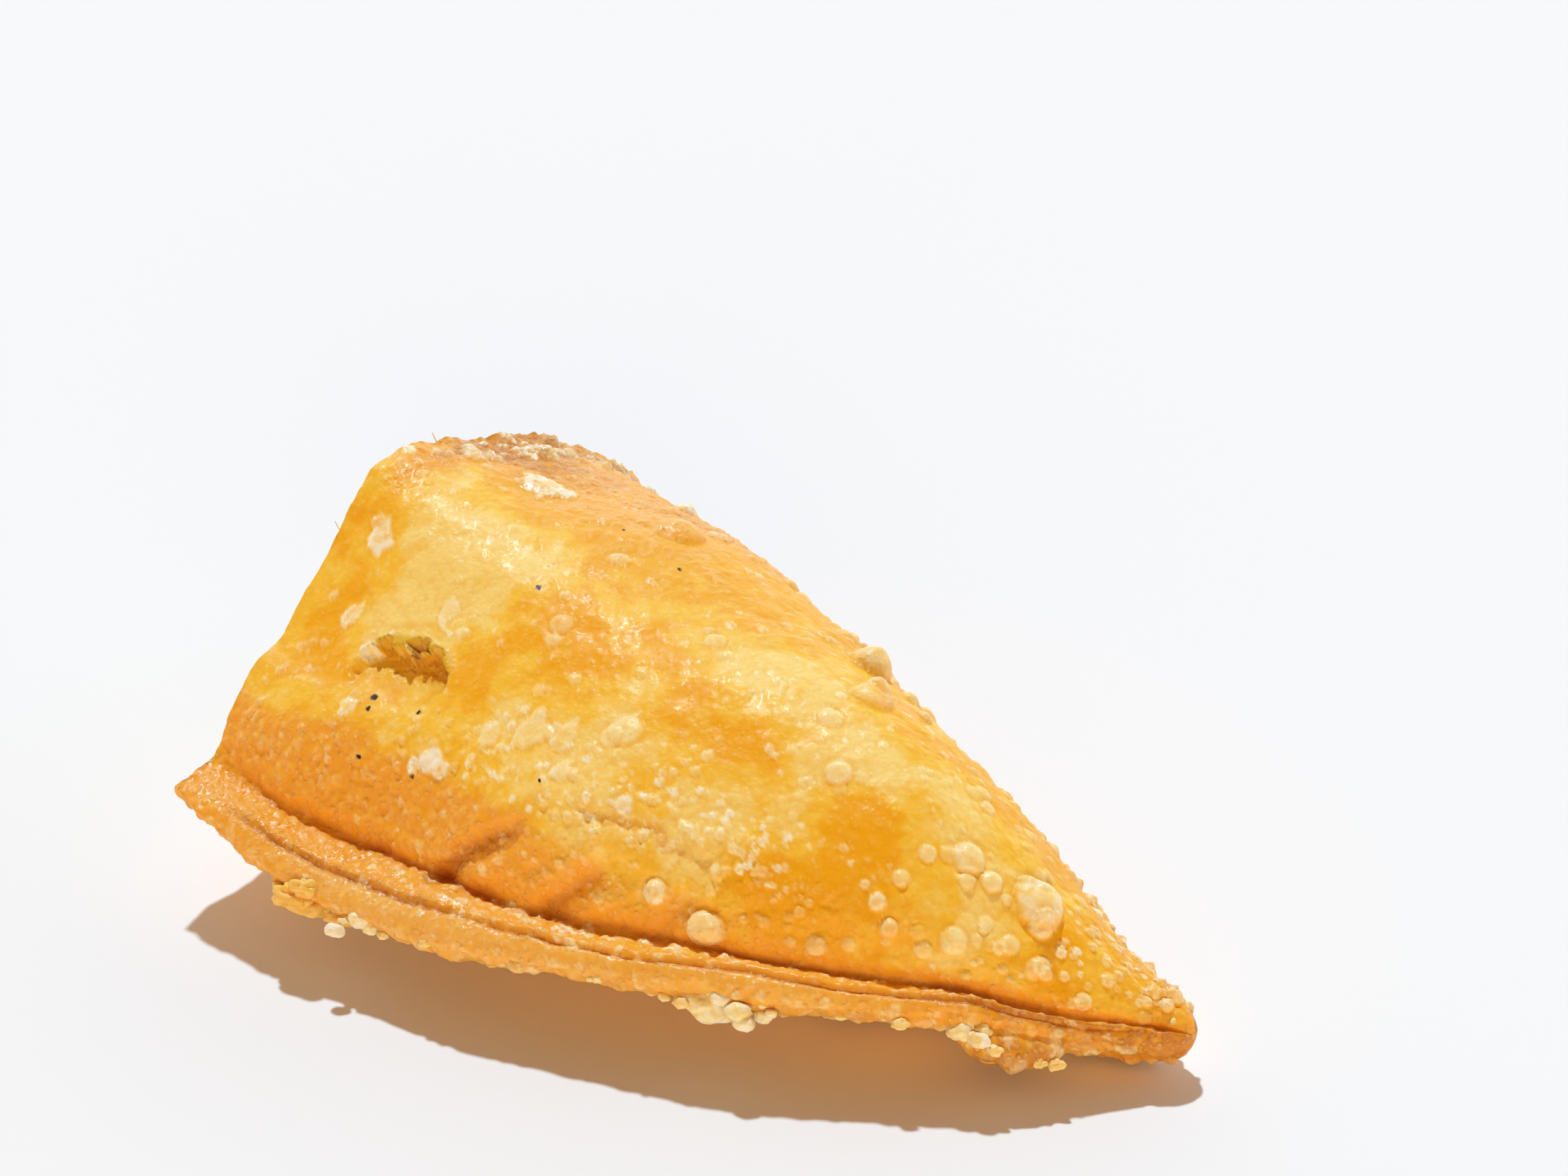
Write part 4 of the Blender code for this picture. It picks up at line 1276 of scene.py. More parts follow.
    def build(self) -> bpy.types.Object:
        """Relief, marks and mesh of the skin.

        Returns:
            The piece.
        """
        self.hang_knuckle()
        self.press_groove()
        self.press_creases()
        self.tone_skin()
        self.break_crater()
        self.roughen()
        self.height *= smooth(1.0, 0.955, self.shares)[:, None]
        for bubble in self.blisters:
            self.raise_bubble(bubble)
        for spread in self.spreads:
            self.strew(spread)
        for along_share, across_share, radius in self.specks:
            centre, row, column = self.find((along_share, across_share))
            part = self.window(row, column, 3 * radius)
            reach = np.linalg.norm(self.grid[part] - centre, axis=2)
            self.lift_mark("speck", part, 0.85 * bump(reach, radius))
        self.done = self.finished_grid()
        normals = grid_normals(self.done)
        count = self.done.shape[1]
        split = self.starts[2] + self.lap
        top = np.arange(-self.lap, split + 1) % count
        beneath = np.arange(split, count - self.lap + 1)
        finish = self.finish.material()
        self.piece("crust_underside", beneath, normals, finish)
        return self.piece("crust_skin", top, normals, finish)

    def piece(self, name: str, chosen: np.ndarray, normals: np.ndarray,
              finish: bpy.types.Material) -> bpy.types.Object:
        """One piece of the skin, made of some of the grid's columns.

        Args:
            name: The piece's name.
            chosen: Its columns, in order.
            normals: Normals of the whole grid.
            finish: Its material.

        Returns:
            The piece.
        """
        rows, columns = len(self.done), len(chosen)
        middle = self.done[-1].mean(axis=0)
        points = np.vstack([self.done[:, chosen].reshape(-1, 3), middle])
        tip = np.append(normals[:, chosen].reshape(-1, 3), [[1.0, 0.0, 0.0]], axis=0)
        marks = {mark: np.append(np.clip(values[:, chosen], -2, 2).ravel(), values[-1].mean())
                 for mark, values in self.marks.items()}
        for mark in SKIN_MARKS[2:]:
            marks[mark] = np.clip(marks[mark], 0, 1)
        parts = MeshParts()
        parts.add(points, grid_faces(rows, columns, closed=False)[:, ::-1], **marks)
        parts.cap(fan_faces((rows - 1) * columns, columns, rows * columns, False)[:-1])
        return parts.make_object(name, finish, "crust", tip)


@dataclass
class CutEdge:
    """The dough's cut face and the start of its inner wall."""

    shape: HalfShape
    skin: Skin
    finish: CutDough = CutDough()
    rows: int = 18
    wall_rows: int = 12
    wall_share: float = 0.16
    layers: tuple[tuple[float, float], ...] = ((0.34, 0.42), (0.70, 0.30))

    def inner(self, share: float) -> np.ndarray:
        """Inside of the dough, with the skin's number of columns.

        Args:
            share: Share of the length.

        Returns:
            Rows of points.
        """
        flange, _, belly, under = self.skin.columns
        over = np.concatenate([np.linspace(0, 0.04, flange, endpoint=False),
                               0.04 + 0.96 * self.skin.places[1]])
        beneath = np.concatenate([np.linspace(0, 0.96, belly, endpoint=False),
                                  np.linspace(0.96, 1.0, under, endpoint=False)])
        return self.shape.hollow(share, self.shape.dough, over, beneath)

    def build(self) -> bpy.types.Object:
        """Cut face with torn layers, then the wall that runs in behind the filling.

        Returns:
            The piece.
        """
        outer = self.skin.done[0]
        inner = self.inner(0.0)
        shares = np.linspace(0, 1, self.rows)
        face = np.array([outer + (inner - outer) * t for t in shares])
        relief = 0.10 * noise_field(face, 1.6, 3, 60) + 0.08 * noise_field(face, 0.45, 2, 61)
        wander = 0.16 * noise_field(face, 7.0, 2, 62)
        gap = np.zeros(face.shape[:2])
        for place, depth in self.layers:
            open_here = np.clip(0.55 + 0.9 * noise_field(face, 8.0, 2, 63 + int(10 * place)), 0, 1)
            line = bump(shares[:, None] - place - wander, 0.07) * open_here
            relief -= depth * line
            gap = np.maximum(gap, line)
        fade = np.sin(np.pi * shares)[:, None] ** 0.5
        face = face + (relief * fade)[..., None] * self.shape.cut_normal()
        wall = np.array([self.inner(share) for share in np.linspace(0, self.wall_share, self.wall_rows)[1:]])
        grid = np.concatenate([face, wall])
        depth = np.concatenate([shares, np.full(len(wall), 1.05)])[:, None] * np.ones(grid.shape[1])
        gap = np.concatenate([gap * fade, np.zeros(wall.shape[:2])])
        parts = MeshParts()
        parts.add(grid, grid_faces(*grid.shape[:2]), depth=depth.ravel(), gap=gap.ravel())
        return parts.make_object("crust_cut_edge", self.finish.material(), "crust")


# --- the filling ------------------------------------------------------------------------

class Produce(Enum):
    """The vegetables in the filling."""

    DARK_PEPPER = "dark_green"
    GREEN_PEPPER = "green"
    ONION = "yellow"
    RED_PEPPER = "red"
    CARROT = "orange"


PRODUCE_FINISH = {kind: CookedVegetable(*looks) for kind, looks in {
    Produce.DARK_PEPPER: ("dark_pepper", (0.050, 0.045, 0.004), (0.15, 0.125, 0.008), (0.50, 0.39, 0.04)),
    Produce.GREEN_PEPPER: ("green_pepper", (0.20, 0.21, 0.018), (0.36, 0.33, 0.03), (0.55, 0.46, 0.09)),
    Produce.ONION: ("onion", (0.90, 0.62, 0.13), (0.93, 0.74, 0.28), (0.96, 0.84, 0.50), 0.12),
    Produce.RED_PEPPER: ("red_pepper", (0.68, 0.035, 0.015), (0.80, 0.10, 0.03), (0.84, 0.28, 0.12)),
    Produce.CARROT: ("carrot", (0.84, 0.23, 0.03), (0.88, 0.35, 0.07), (0.90, 0.50, 0.18)),
}.items()}


@dataclass
class Vegetable:
    """One piece of vegetable in the cut face."""

    node: str
    reach: float
    height: float
    size: tuple[float, float, float]
    lean: float
    produce: Produce
    segments: tuple[int, int] = (88, 56)
    proud: float = 0.3

    def nearness(self, reach: np.ndarray, height: np.ndarray, margin: float) -> np.ndarray:
        """How far places of the cut face are from the piece's middle, 1 at its margin's edge."""
        x, y = turn_flat(reach - self.reach, height - self.height, -math.radians(self.lean))
        return np.hypot(x / (self.size[0] / 2 + margin), y / (self.size[1] / 2 + margin))

    def relief(self, local: np.ndarray, seed: int) -> np.ndarray:
        """Relief of the piece's surface, by kind.

        Args:
            local: Points about the piece's middle, its length along x.
            seed: Makes its lumps differ.

        Returns:
            The relief in millimetres, inward for the most part.
        """
        lumps = noise_field(local, 1.6, 3, seed)
        wander = 0.4 * noise_field(local, 3.0, 1, seed + 1)
        if self.produce is Produce.DARK_PEPPER:
            return -0.12 + 0.14 * lumps - 0.75 * bump(local[..., 1] - 0.35 - wander, 0.22)
        if self.produce is Produce.GREEN_PEPPER:
            return -0.16 + 0.10 * lumps + 0.15 * np.cos(7.5 * (local[..., 1] + 0.5 * wander))
        if self.produce is Produce.ONION:
            layers = bump(local[..., 1] - 0.75 - wander, 0.12) + bump(local[..., 1] + 0.55 - wander, 0.12)
            return -0.10 + 0.08 * lumps - 0.35 * layers
        return -0.12 + 0.22 * lumps

    def build(self, shape: HalfShape, finishes: dict[Produce, bpy.types.Material]) -> bpy.types.Object:
        """Rounded piece with ribs or folds, set into the cut face.

        Args:
            shape: The half that it sits in.
            finishes: Materials by kind of vegetable.

        Returns:
            The piece.
        """
        boxiness = {Produce.DARK_PEPPER: 0.6, Produce.GREEN_PEPPER: 0.5}.get(self.produce, 0.75)
        rise, turn = globe(self.segments)
        flat = np.abs(np.cos(rise)) ** boxiness
        local = np.stack([self.size[0] / 2 * flat * boxy(np.cos(turn), boxiness),
                          self.size[1] / 2 * flat * boxy(np.sin(turn), boxiness),
                          self.size[2] / 2 * boxy(np.sin(rise), boxiness)], -1)
        relief = self.relief(local, sum(map(ord, self.node)) % 31)
        reach = np.maximum(np.linalg.norm(local, axis=-1, keepdims=True), 0.1)
        local = local + relief[..., None] * local / reach
        x, y = turn_flat(local[..., 0], local[..., 1], math.radians(self.lean))
        middle = shape.on_cut(self.reach, self.height, self.proud - self.size[2] / 2)
        points = (middle + x[..., None] * shape.cut_direction() + y[..., None] * UP
                  - local[..., 2:] * shape.cut_normal())
        spread = np.hypot(local[..., 0] / self.size[0], local[..., 1] / self.size[1]) * 2
        rim = smooth(0.80, 1.0, spread) * 0.75
        parts = MeshParts()
        parts.add_closed(points, rim=np.append(rim, [0.0, 0.0]))
        return parts.make_object(self.node + "_piece", finishes[self.produce], self.node)


VEGETABLES = (
    Vegetable("green_piece_1", 16.0, 11.6, (5.8, 3.8, 4.4), 14, Produce.DARK_PEPPER),
    Vegetable("green_piece_2", 40.2, 10.3, (4.8, 2.8, 4.6), -12, Produce.GREEN_PEPPER),
    Vegetable("green_piece_3", 41.0, 7.0, (4.8, 2.8, 4.6), -10, Produce.GREEN_PEPPER),
    Vegetable("green_piece_4", 29.6, 17.6, (3.6, 2.7, 3.4), 25, Produce.GREEN_PEPPER),
    Vegetable("yellow_piece", 27.0, 9.2, (9.6, 3.8, 4.8), 6, Produce.ONION),
    Vegetable("red_piece_1", 11.8, 10.8, (3.0, 2.0, 2.6), 20, Produce.RED_PEPPER),
    Vegetable("red_piece_2", 31.5, 13.6, (2.8, 1.9, 2.6), -15, Produce.RED_PEPPER),
    Vegetable("orange_piece", 35.6, 15.2, (2.3, 2.9, 2.4), 8, Produce.CARROT),
)


@dataclass
class Filling:
    """Body of the chicken: torn clumps and crevices at the cut, plain where the dough hides it."""

    shape: HalfShape
    finish: Chicken = Chicken()
    columns: tuple[int, int] = (240, 170)
    face_rings: int = 120
    gap: float = 0.4
    recess: float = 1.3
    clump: float = 5.0

    def __post_init__(self) -> None:
        """Lay out the edge of the filling at the cut."""
        ring = self.side(0.0)
        reach = ring @ self.shape.cut_direction()
        half = self.columns[0]
        order = np.argsort(reach[half:])
        self.upper_edge = reach[:half], ring[:half, 2]
        self.lower_edge = reach[half:][order], ring[half:, 2][order]

    def side(self, share: float) -> np.ndarray:
        """Ring of the filling's side."""
        over, beneath = (np.arange(count) / count for count in self.columns)
        return self.shape.hollow(share, self.shape.dough + self.gap, over, beneath)

    def room(self, reach: float, height: float) -> float:
        """How far a place of the cut face lies inside the filling, negative outside it.

        Args:
            reach: Distance along the cut.
            height: Height over the table.

        Returns:
            The distance inward.
        """
        first, last = self.upper_edge[0].min(), self.upper_edge[0].max()
        if not first < reach < last:
            return -1.0
        return float(min(np.interp(reach, *self.upper_edge) - height, reach - first, last - reach,
                         height - np.interp(reach, *self.lower_edge)))

    def beside_vegetables(self, reach: np.ndarray, height: np.ndarray, margin: float) -> np.ndarray:
        """Distance to the nearest vegetable, 1 at its margin's edge."""
        return np.min([vegetable.nearness(reach, height, margin) for vegetable in VEGETABLES], axis=0)

    def clear(self, places: Sequence[tuple[float, float]], inside: float, margin: float,
              apart: float) -> bool:
        """Whether places are all well inside the filling and apart from the vegetables."""
        return all(self.room(*place) >= inside and self.beside_vegetables(*place, margin) >= apart
                   for place in places)

    def face_height(self, points: np.ndarray) -> tuple[np.ndarray, np.ndarray]:
        """Height of the clumps over the recessed face, and how low each point lies, which sets the oily
        colour and painted shade of the hollows.

        Args:
            points: Points of the flat face.

        Returns:
            Heights in millimetres, and depths from 0 to 1.
        """
        warped = points + 1.1 * np.stack([noise_field(points, 2.4, 3, seed) for seed in (71, 72, 73)], -1)
        near, second = cell_field(warped, self.clump)
        near2, second2 = cell_field(warped, 1.9, 3)
        big = 1.7 * smooth(0.0, 0.38, second - near) + 0.7 * noise_field(points, 6.0, 1, 76)
        small = 0.75 * smooth(0.0, 0.45, second2 - near2)
        reach, height = points @ self.shape.cut_direction(), points[..., 2]
        heading = 3.0 * noise_field(points, 8.0, 1, 75)
        beside = height * np.cos(heading) - reach * np.sin(heading)
        ridge = np.sin(beside * 9.0 + 3 * noise_field(points, 1.5, 2, 77))
        rise = big + small + 0.13 * ridge + 0.30 * noise_field(points, 0.8, 3, 70)
        sink = smooth(1.2, 0.9, self.beside_vegetables(reach, height, 0.5))
        rise = rise * (1 - sink) - 0.9 * sink
        # Low places between the clumps get a high mark, which the material paints oily and then dark as
        # painted shade.
        return rise, np.clip(smooth(1.35, -0.1, rise), 0, 1)

    def build(self) -> bpy.types.Object:
        """Face, side and back of the filling.

        Returns:
            The piece.
        """
        last = self.shape.hollow_share - 0.012
        stations = np.concatenate([np.linspace(0, 0.10, 6), np.linspace(0.2, last, 9)])
        sides = np.array([self.side(share) for share in stations])
        sides[0] -= self.recess * self.shape.cut_normal()
        middle = sides[0].mean(axis=0)
        shrink = (1 - np.linspace(0, 1, self.face_rings + 1)[1:-1])[:, None, None]
        flat = middle + (sides[0] - middle) * shrink
        height, deep = self.face_height(flat)
        settle = smooth(1.0, 0.94, shrink[..., 0])
        face = flat + (height * settle)[..., None] * self.shape.cut_normal()
        grid = np.concatenate([face[::-1], sides])
        # The sides, hidden in the dough, get the mark at 0.7: oily colour with a little painted shade.
        deep = np.concatenate([deep[::-1], np.full(sides.shape[:2], 0.7)])
        parts = MeshParts()
        parts.add_closed(grid, turned=True, deep=np.append(deep, [0.3, 0.5]), tint=0.45)
        return parts.make_object("filling_body", self.finish.material(), "filling")


@dataclass
class Chunks:
    """Torn lumps of chicken that stand out of the cut face, ragged at their ends."""

    shape: HalfShape
    filling: Filling
    count: int = 78
    crumbs: int = 170
    segments: tuple[int, int] = (40, 30)
    crumb_segments: tuple[int, int] = (18, 14)
    spacing: float = 2.0
    seed: int = 17

    def lump(self, parts: MeshParts, middle: np.ndarray, axes: np.ndarray, size: np.ndarray, tint: float,
             seed: int, segments: tuple[int, int]) -> None:
        """Add one lump with ridges along its fibres, oily and then dark with painted shade where it lies
        behind the cut face.

        Args:
            parts: The mesh that it goes into.
            middle: Its middle.
            axes: Directions of its length, width and thickness, one to a row.
            size: Its length, width and thickness.
            tint: Its shade, 0 pale to 1 mauve.
            seed: Makes its shape differ.
            segments: Points round it and along it.
        """
        rise, turn = globe(segments)
        unit = np.stack([np.sin(rise), np.cos(rise) * np.cos(turn), np.cos(rise) * np.sin(turn)], -1)
        strand = np.stack([np.zeros_like(turn), np.cos(turn), np.sin(turn)], -1)
        torn = 1 + 0.42 * noise_field(strand, 0.32, 2, seed) + 0.30 * noise_field(unit, 0.8, 2, seed + 200)
        lumps = 1 + 0.42 * noise_field(unit, 0.9, 3, seed + 100)
        ridges = 1 + 0.10 * np.sin(9 * turn + 5 * noise_field(unit, 1.1, 1, seed + 300))
        around = np.abs(np.cos(rise)) ** 0.6 * lumps * ridges
        local = np.stack([size[0] / 2 * np.sin(rise) * torn, size[1] / 2 * np.cos(turn) * around,
                          size[2] / 2 * np.sin(turn) * around], -1)
        local += 0.16 * noise_field(local, 0.6, 3, seed + 400)[..., None] * unit
        points = middle + local @ axes
        # Painted shade: the further a point lies behind the cut face, the higher its mark, oily first and
        # then dark.
        out = (points - self.shape.on_cut(0, 0)) @ self.shape.cut_normal()
        deep = 0.95 * smooth(0.1, -1.6, out)
        parts.add_closed(points, deep=np.append(deep, [0.3, 0.3]), tint=tint)

    def build(self) -> bpy.types.Object:
        """Lumps over the face, none in front of a vegetable.

        Returns:
            The piece.
        """
        draw = np.random.default_rng(self.seed)
        parts = MeshParts()
        cut, normal = self.shape.cut_direction(), self.shape.cut_normal()
        made, taken = 0, []
        while made < self.count:
            reach, height = draw.uniform(6, 49), draw.uniform(1, 22)
            size = np.array([draw.uniform(3.0, 6.8), draw.uniform(1.7, 3.2), draw.uniform(1.6, 2.6)])
            heading = draw.uniform(0, math.pi)
            ends = [(reach + k * 0.4 * size[0] * math.cos(heading),
                     height + k * 0.4 * size[0] * math.sin(heading)) for k in (-1, 0, 1)]
            if not self.filling.clear(ends, 0.8, 1.0, 1.1):
                continue
            crowded = any(math.hypot(reach - r, height - h) < self.spacing for r, h in taken)
            if crowded and draw.random() < 0.97:
                continue
            made += 1
            taken.append((reach, height))
            tilt = draw.normal(0, 0.22)
            ahead = math.cos(heading) * cut + math.sin(heading) * UP
            beside = -math.sin(heading) * cut + math.cos(heading) * UP
            length = math.cos(tilt) * ahead + math.sin(tilt) * normal
            axes = np.array([length, beside, np.cross(length, beside)])
            middle = self.shape.on_cut(reach, height, draw.uniform(-0.75, 0.15))
            self.lump(parts, middle, axes, size, draw.random(), made, self.segments)
        return parts.make_object("chicken_chunks", self.filling.finish.material(), "filling")

    def build_bits(self) -> bpy.types.Object:
        """Small torn bits between the lumps.

        Returns:
            The piece.
        """
        draw = np.random.default_rng(self.seed + 1)
        parts = MeshParts()
        made = 0
        while made < self.crumbs:
            reach, height = draw.uniform(5, 50), draw.uniform(1, 23)
            if not self.filling.clear([(reach, height)], 0.35, 0.5, 1.0):
                continue
            made += 1
            size = draw.uniform(0.8, 2.2) * np.array([1.0, draw.uniform(0.6, 0.9), draw.uniform(0.6, 0.9)])
            axes = np.linalg.qr(draw.normal(size=(3, 3)))[0]
            axes = axes * np.sign(np.linalg.det(axes))
            middle = self.shape.on_cut(reach, height, draw.uniform(-1.3, 0.5))
            self.lump(parts, middle, axes, size, draw.random(), 500 + made, self.crumb_segments)
        return parts.make_object("chicken_bits", self.filling.finish.material(), "filling")


@dataclass
class Shreds:
    """Fine fibres of chicken: a few draped over the lumps, many short ones that fray from them."""

    shape: HalfShape
    filling: Filling
    draped: int = 26
    frayed: int = 620
    sides: int = 5
    steps: int = 7
    hairs: tuple[tuple[float, float, tuple[float, float, float], float], ...] = (
        (10.0, 12.2, (-0.7, 0.1, 0.7), 1.6), (17.5, 19.6, (-0.5, -0.2, 0.85), 1.8),
        (27.0, 23.3, (-0.6, 0.2, 0.75), 1.2))
    flatness: float = 0.65
    seed: int = 5

    def fibre(self, parts: MeshParts, path: np.ndarray, radius: float, tint: float) -> None:
        """Add one fibre: a tapered tube along a path.

        Args:
            parts: The mesh that it goes into.
            path: Points along it.
            radius: Thickness at its middle.
            tint: Its shade, 0 pale to 1 mauve.
        """
        tangent = np.gradient(path, axis=0)
        tangent /= np.maximum(np.linalg.norm(tangent, axis=1, keepdims=True), 1e-9)
        side = np.cross(tangent, np.array([0.31, 0.22, 0.92]))
        side /= np.maximum(np.linalg.norm(side, axis=1, keepdims=True), 1e-9)
        other = np.cross(tangent, side)
        t = np.linspace(0, 1, len(path))
        taper = radius * (0.25 + 0.75 * np.sin(np.pi * np.clip(0.1 + 0.8 * t, 0, 1)) ** 0.6)
        angle = np.arange(self.sides) / self.sides * 2 * math.pi
        ring = (np.cos(angle)[None, :, None] * side[:, None]
                + self.flatness * np.sin(angle)[None, :, None] * other[:, None])
        tube = path[:, None] + taper[:, None, None] * ring
        parts.add_closed(tube, path[[0, -1]], tint=tint, deep=0.0)

    def strand(self, draw: np.random.Generator, parts: MeshParts, length: float, radius: float, out: float,
               stand: float) -> bool:
        """Add one bent fibre at a random place of the face.

        Args:
            draw: Source of chance.
            parts: The mesh that it goes into.
            length: Its length.
            radius: Its thickness.
            out: How far out of the face its middle lies.
            stand: How steeply it stands out of the face.

        Returns:
            Whether the place lay in the filling.
        """
        reach, height = draw.uniform(6, 49), draw.uniform(1, 22)
        if not self.filling.clear([(reach, height)], 0.5, 0.2, 0.75):
            return False
        cut, normal = self.shape.cut_direction(), self.shape.cut_normal()
        heading, bend = draw.uniform(0, 2 * math.pi), draw.normal(0, 0.22)
        t = np.linspace(-0.5, 0.5, self.steps)
        turn = heading + 3.5 * bend * t
        ahead = np.cos(turn)[:, None] * cut + np.sin(turn)[:, None] * UP
        path = self.shape.on_cut(reach, height, out) + length * t[:, None] * ahead
        path = path + (length * stand * t + 0.5 * (0.25 - t ** 2))[:, None] * normal
        path = path + 0.05 * draw.normal(size=path.shape)
        self.fibre(parts, path, radius, float(np.clip(draw.normal(0.25, 0.3), 0, 1)))
        return True

    def hair(self, parts: MeshParts, root: np.ndarray, lean: np.ndarray, length: float) -> None:
        """Add one thin hair that stands past the rim.

        Args:
            parts: The mesh that it goes into.
            root: Where it starts.
            lean: Direction that it stands in.
            length: Its length.
        """
        t = np.linspace(0, 1, self.steps)[:, None]
        bend = np.array([0.3, -0.2, 0.35]) * length
        self.fibre(parts, root + t * lean * length + t * t * bend * 0.35, 0.07, 0.2)

    def build(self) -> bpy.types.Object:
        """Draped fibres, frayed ones, and a few hairs past the rim.

        Returns:
            The piece.
        """
        draw = np.random.default_rng(self.seed)
        parts = MeshParts()
        made = 0
        while made < self.draped:
            made += self.strand(draw, parts, draw.uniform(2.0, 5.5), draw.uniform(0.11, 0.26),
                                draw.uniform(-0.1, 0.6), draw.normal(0, 0.10))
        made = 0
        while made < self.frayed:
            made += self.strand(draw, parts, draw.uniform(0.4, 1.2), draw.uniform(0.05, 0.11),
                                draw.uniform(-0.5, 0.7), draw.normal(0, 0.4))
        for reach, height, lean, length in self.hairs:
            self.hair(parts, self.shape.on_cut(reach, height, -0.2), np.array(lean), length)
        return parts.make_object("chicken_shreds", self.filling.finish.material(), "filling")


# --- crumbs -----------------------------------------------------------------------------

@dataclass
class Crumbs:
    """Flakes and bubbles of batter that cling under the flange.

    A cluster has a place along the flange, a place under it, a size, a number of blobs and a
    whiteness.
    """

    shape: HalfShape
    skin: Skin
    clusters: tuple[tuple[float, float, float, int, float], ...] = (
        (0.150, 0.86, 1.0, 2, 0.2), (0.164, 0.88, 1.5, 3, 0.2), (0.180, 0.88, 1.3, 3, 0.3),
        (0.213, 0.86, 0.7, 2, 0.9), (0.222, 0.88, 1.2, 3, 1.2), (0.236, 0.85, 0.6, 2, 0.8),
        (0.300, 0.90, 0.5, 1, 0.5), (0.440, 0.90, 0.6, 2, 0.7), (0.505, 0.90, 0.8, 3, 0.8),
        (0.530, 0.88, 1.1, 4, 0.9), (0.546, 0.88, 1.4, 4, 1.0), (0.562, 0.88, 1.3, 4, 0.9),
        (0.585, 0.88, 0.8, 2, 0.8), (0.640, 0.90, 0.5, 1, 0.6), (0.700, 0.88, 0.7, 2, 0.7),
        (0.752, 0.90, 1.0, 3, 0.8), (0.765, 0.90, 1.0, 3, 0.7), (0.830, 0.88, 0.6, 2, 0.6))
    segments: tuple[int, int] = (28, 18)
    seed: int = 23

    def blob(self, parts: MeshParts, centre: np.ndarray, radius: float, white: float, seed: int) -> None:
        """Add one lumpy blob.

        Args:
            parts: The mesh that it goes into.
            centre: Its middle.
            radius: Its radius.
            white: How pale it is, 0 to 1.
            seed: Makes its lumps differ.
        """
        rise, turn = globe(self.segments)
        unit = np.stack([np.cos(rise) * np.cos(turn), np.cos(rise) * np.sin(turn), np.sin(rise)], -1)
        torn = max(0.22, 0.85 - 0.8 * white)
        fine = 0.14 * torn * noise_field(unit, 0.4, 2, seed + 50)
        lumpy = radius * (1 + torn * noise_field(unit, 0.9, 2, seed) + fine)
        points = centre + lumpy[..., None] * unit * np.array([1.2, 0.85, 0.85])
        points[..., 2] = np.maximum(points[..., 2], 0.05)
        marks = dict.fromkeys(SKIN_MARKS, 0.0)
        # The lumps' tops get the same mark, painted paler, partly as a highlight.
        marks.update(grain=np.append(smooth(0.9, 1.3, lumpy / radius), [0.0, 0.0]), tone=0.6 - 1.2 * white,
                     blister=min(0.95 * white, 1.0))
        parts.add_closed(points, **marks)

    def build(self, finish: bpy.types.Material) -> bpy.types.Object:
        """Clusters of blobs under the flange.

        Args:
            finish: The crumbs' material.

        Returns:
            The piece.
        """
        draw = np.random.default_rng(self.seed)
        parts = MeshParts()
        seed = 0
        for place, under, size, count, white in self.clusters:
            _, row, column = self.skin.find((place, under), Run.UNDER)
            for _ in range(count):
                seed += 1
                r = int(np.clip(row + draw.integers(-4, 5), 0, len(self.skin.done) - 1))
                c = int(np.clip(column + draw.integers(-3, 4), self.skin.starts[3], self.skin.starts[4] - 1))
                centre = self.skin.done[r, c] + np.array([0, 0, -0.22 * size])
                centre = centre + draw.normal(0, 0.25 * size, 3)
                radius = size * draw.uniform(0.35, 0.75)
                self.blob(parts, centre, radius, white * draw.uniform(0.7, 1.0), seed)
        return parts.make_object("crust_crumbs", finish, "crust")


# --- studio -----------------------------------------------------------------------------

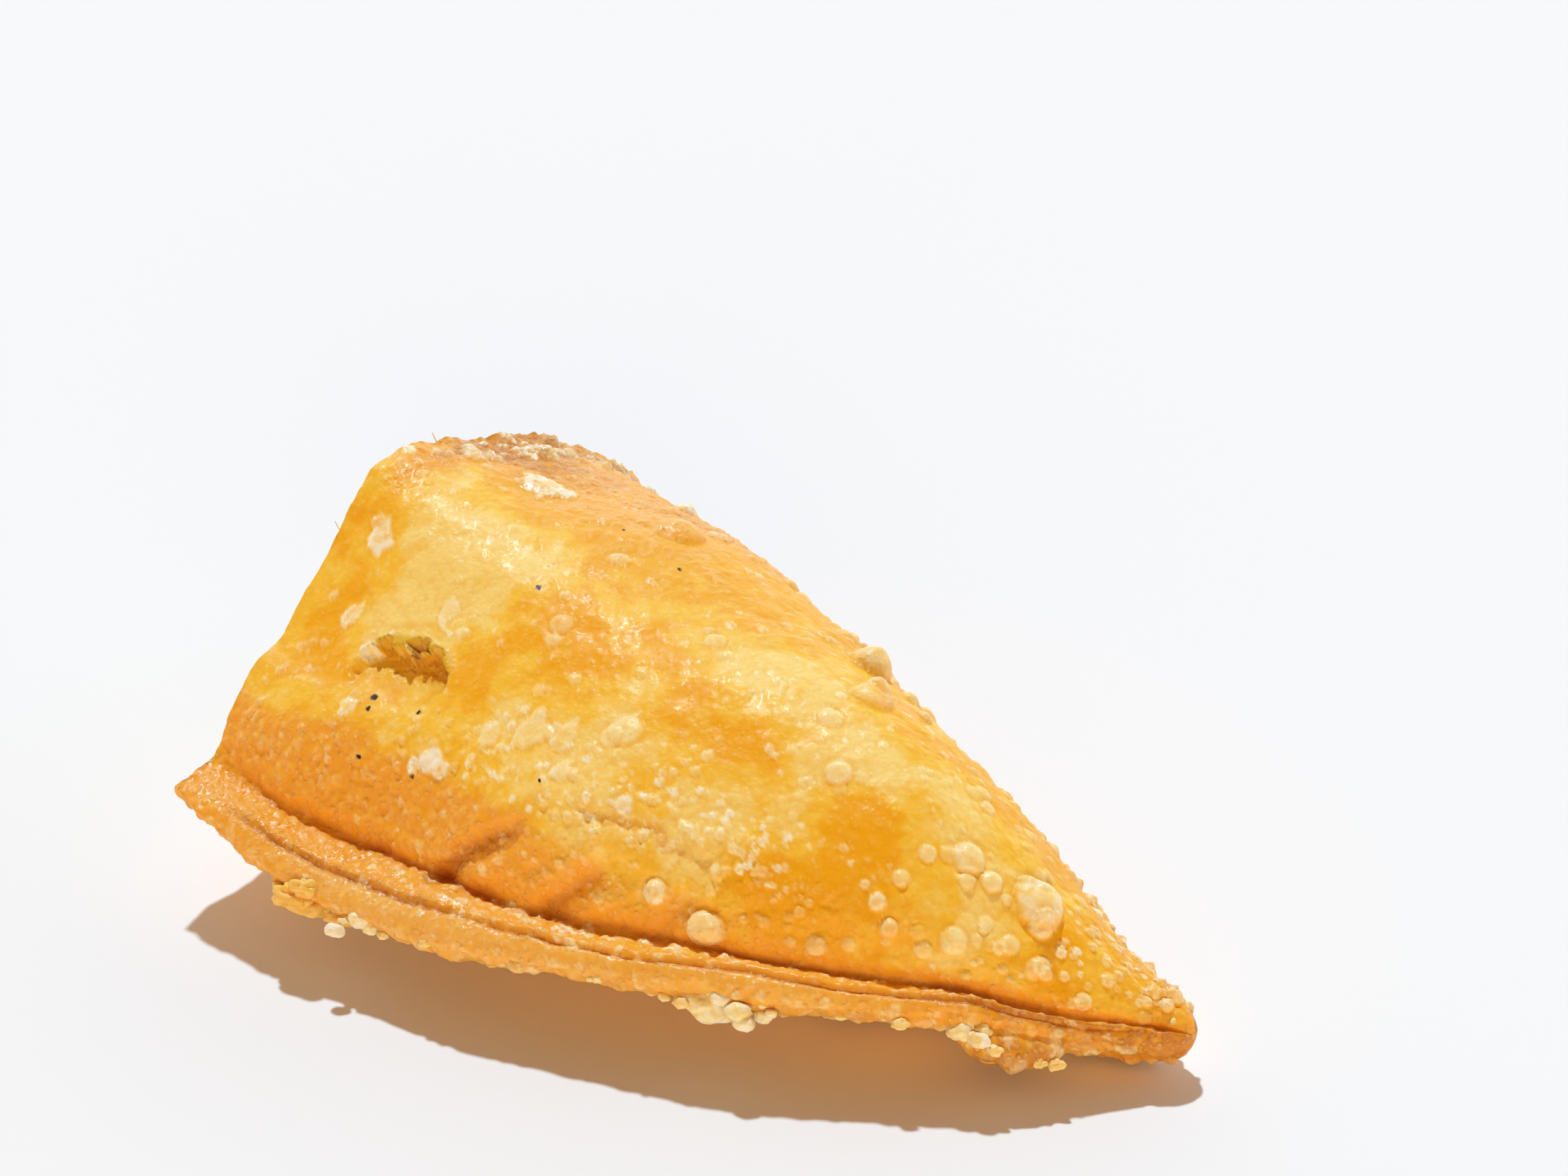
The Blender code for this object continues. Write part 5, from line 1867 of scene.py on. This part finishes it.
@dataclass
class Studio:
    """Pale floor, soft light and the camera."""

    camera_at: tuple[float, float, float] = (108.0, -203.0, 138.5)
    aim: tuple[float, float, float] = (24.6, 55.7, 0.0)
    lens: float = 90.0
    floor_half: float = 4.0
    sun_from: tuple[float, float, float] = (-0.262, 0.502, 1.0)
    sun_power: float = 2.7
    sun_colour: Colour = (0.70, 0.88, 1.0)
    sun_angle: float = 3.0
    fill_from: tuple[float, float, float] = (0.33, -0.92, 0.05)
    fill_power: float = 1.5
    fill_colour: Colour = (1.0, 0.84, 0.50)
    fill_angle: float = 40.0
    behind: Colour = (1.50, 1.58, 1.66)
    front: Colour = (1.50, 1.06, 0.52)
    overhead: Colour = (0.27, 0.14, 0.07)
    front_span: tuple[float, float] = (0.05, 0.40)
    behind_span: tuple[float, float] = (0.25, 0.70)
    depth_span: tuple[float, float] = (-0.15, 0.45)

    def floor(self) -> None:
        """Make the floor."""
        mesh = bpy.data.meshes.new("floor")
        h = self.floor_half
        mesh.from_pydata([(-h, -h, 0), (h, -h, 0), (h, h, 0), (-h, h, 0)], [], [(0, 1, 2, 3)])
        mesh.materials.append(PaleFloor().material())
        floor = place_object("floor", mesh)

    def lamp(self, name: str, source: Sequence[float], power: float, colour: Colour, angle: float) -> None:
        """Hang one far lamp.

        Args:
            name: The lamp's name.
            source: Direction that it shines from.
            power: Its strength.
            colour: Its colour.
            angle: How wide it looks, in degrees.
        """
        data = bpy.data.lights.new(name, "SUN")
        data.energy, data.angle, data.color = power, math.radians(angle), colour
        lamp = place_object(name, data)
        lamp.rotation_mode = "QUATERNION"
        lamp.rotation_quaternion = Vector(source).to_track_quat("Z", "Y")

    def light(self) -> None:
        """Hang the key light behind on the left and a soft one in front, and light the room."""
        self.lamp("key", self.sun_from, self.sun_power, self.sun_colour, self.sun_angle)
        self.lamp("fill", self.fill_from, self.fill_power, self.fill_colour, self.fill_angle)
        room = Bench(bpy.data.worlds.new("room"))
        axes = room.add("SeparateXYZ", {0: room.coordinates["Generated"]}).outputs
        front = room.mix(room.fit(axes["Z"], *self.front_span), self.front, self.overhead)
        behind = room.mix(room.fit(axes["Z"], *self.behind_span), self.behind, self.overhead)
        colour = room.mix(room.fit(axes["Y"], *self.depth_span), front, behind)
        room.put(room.nodes["Background"].inputs["Color"], colour)
        bpy.context.scene.world = room.holder
        bpy.context.scene.view_settings.view_transform = "Standard"
        bpy.context.scene.view_settings.look = "None"

    def camera(self) -> None:
        """Set up the camera."""
        data = bpy.data.cameras.new("camera")
        data.lens = self.lens
        data.sensor_width = 36.0
        data.clip_start, data.clip_end = 0.01, 20.0
        camera = place_object("camera", data)
        place, aim = Vector(in_metres(self.camera_at)), Vector(in_metres(self.aim))
        camera.location = place
        camera.rotation_mode = "QUATERNION"
        camera.rotation_quaternion = (aim - place).to_track_quat("-Z", "Y")
        bpy.context.scene.camera = camera

    def build(self) -> None:
        """Floor, light and camera."""
        self.floor()
        self.light()
        self.camera()


def main() -> None:
    """Build every piece in order."""
    logging.basicConfig(level=logging.INFO, format="%(name)s: %(message)s")
    shape = HalfShape()
    Studio().build()
    skin = Skin(shape)
    crust = skin.build()
    CutEdge(shape, skin).build()
    Crumbs(shape, skin).build(crust.data.materials[0])
    filling = Filling(shape)
    filling.build()
    chunks = Chunks(shape, filling)
    chunks.build()
    chunks.build_bits()
    Shreds(shape, filling).build()
    finishes = {produce: finish.material() for produce, finish in PRODUCE_FINISH.items()}
    for vegetable in VEGETABLES:
        vegetable.build(shape, finishes)


if __name__ == "__main__":
    main()
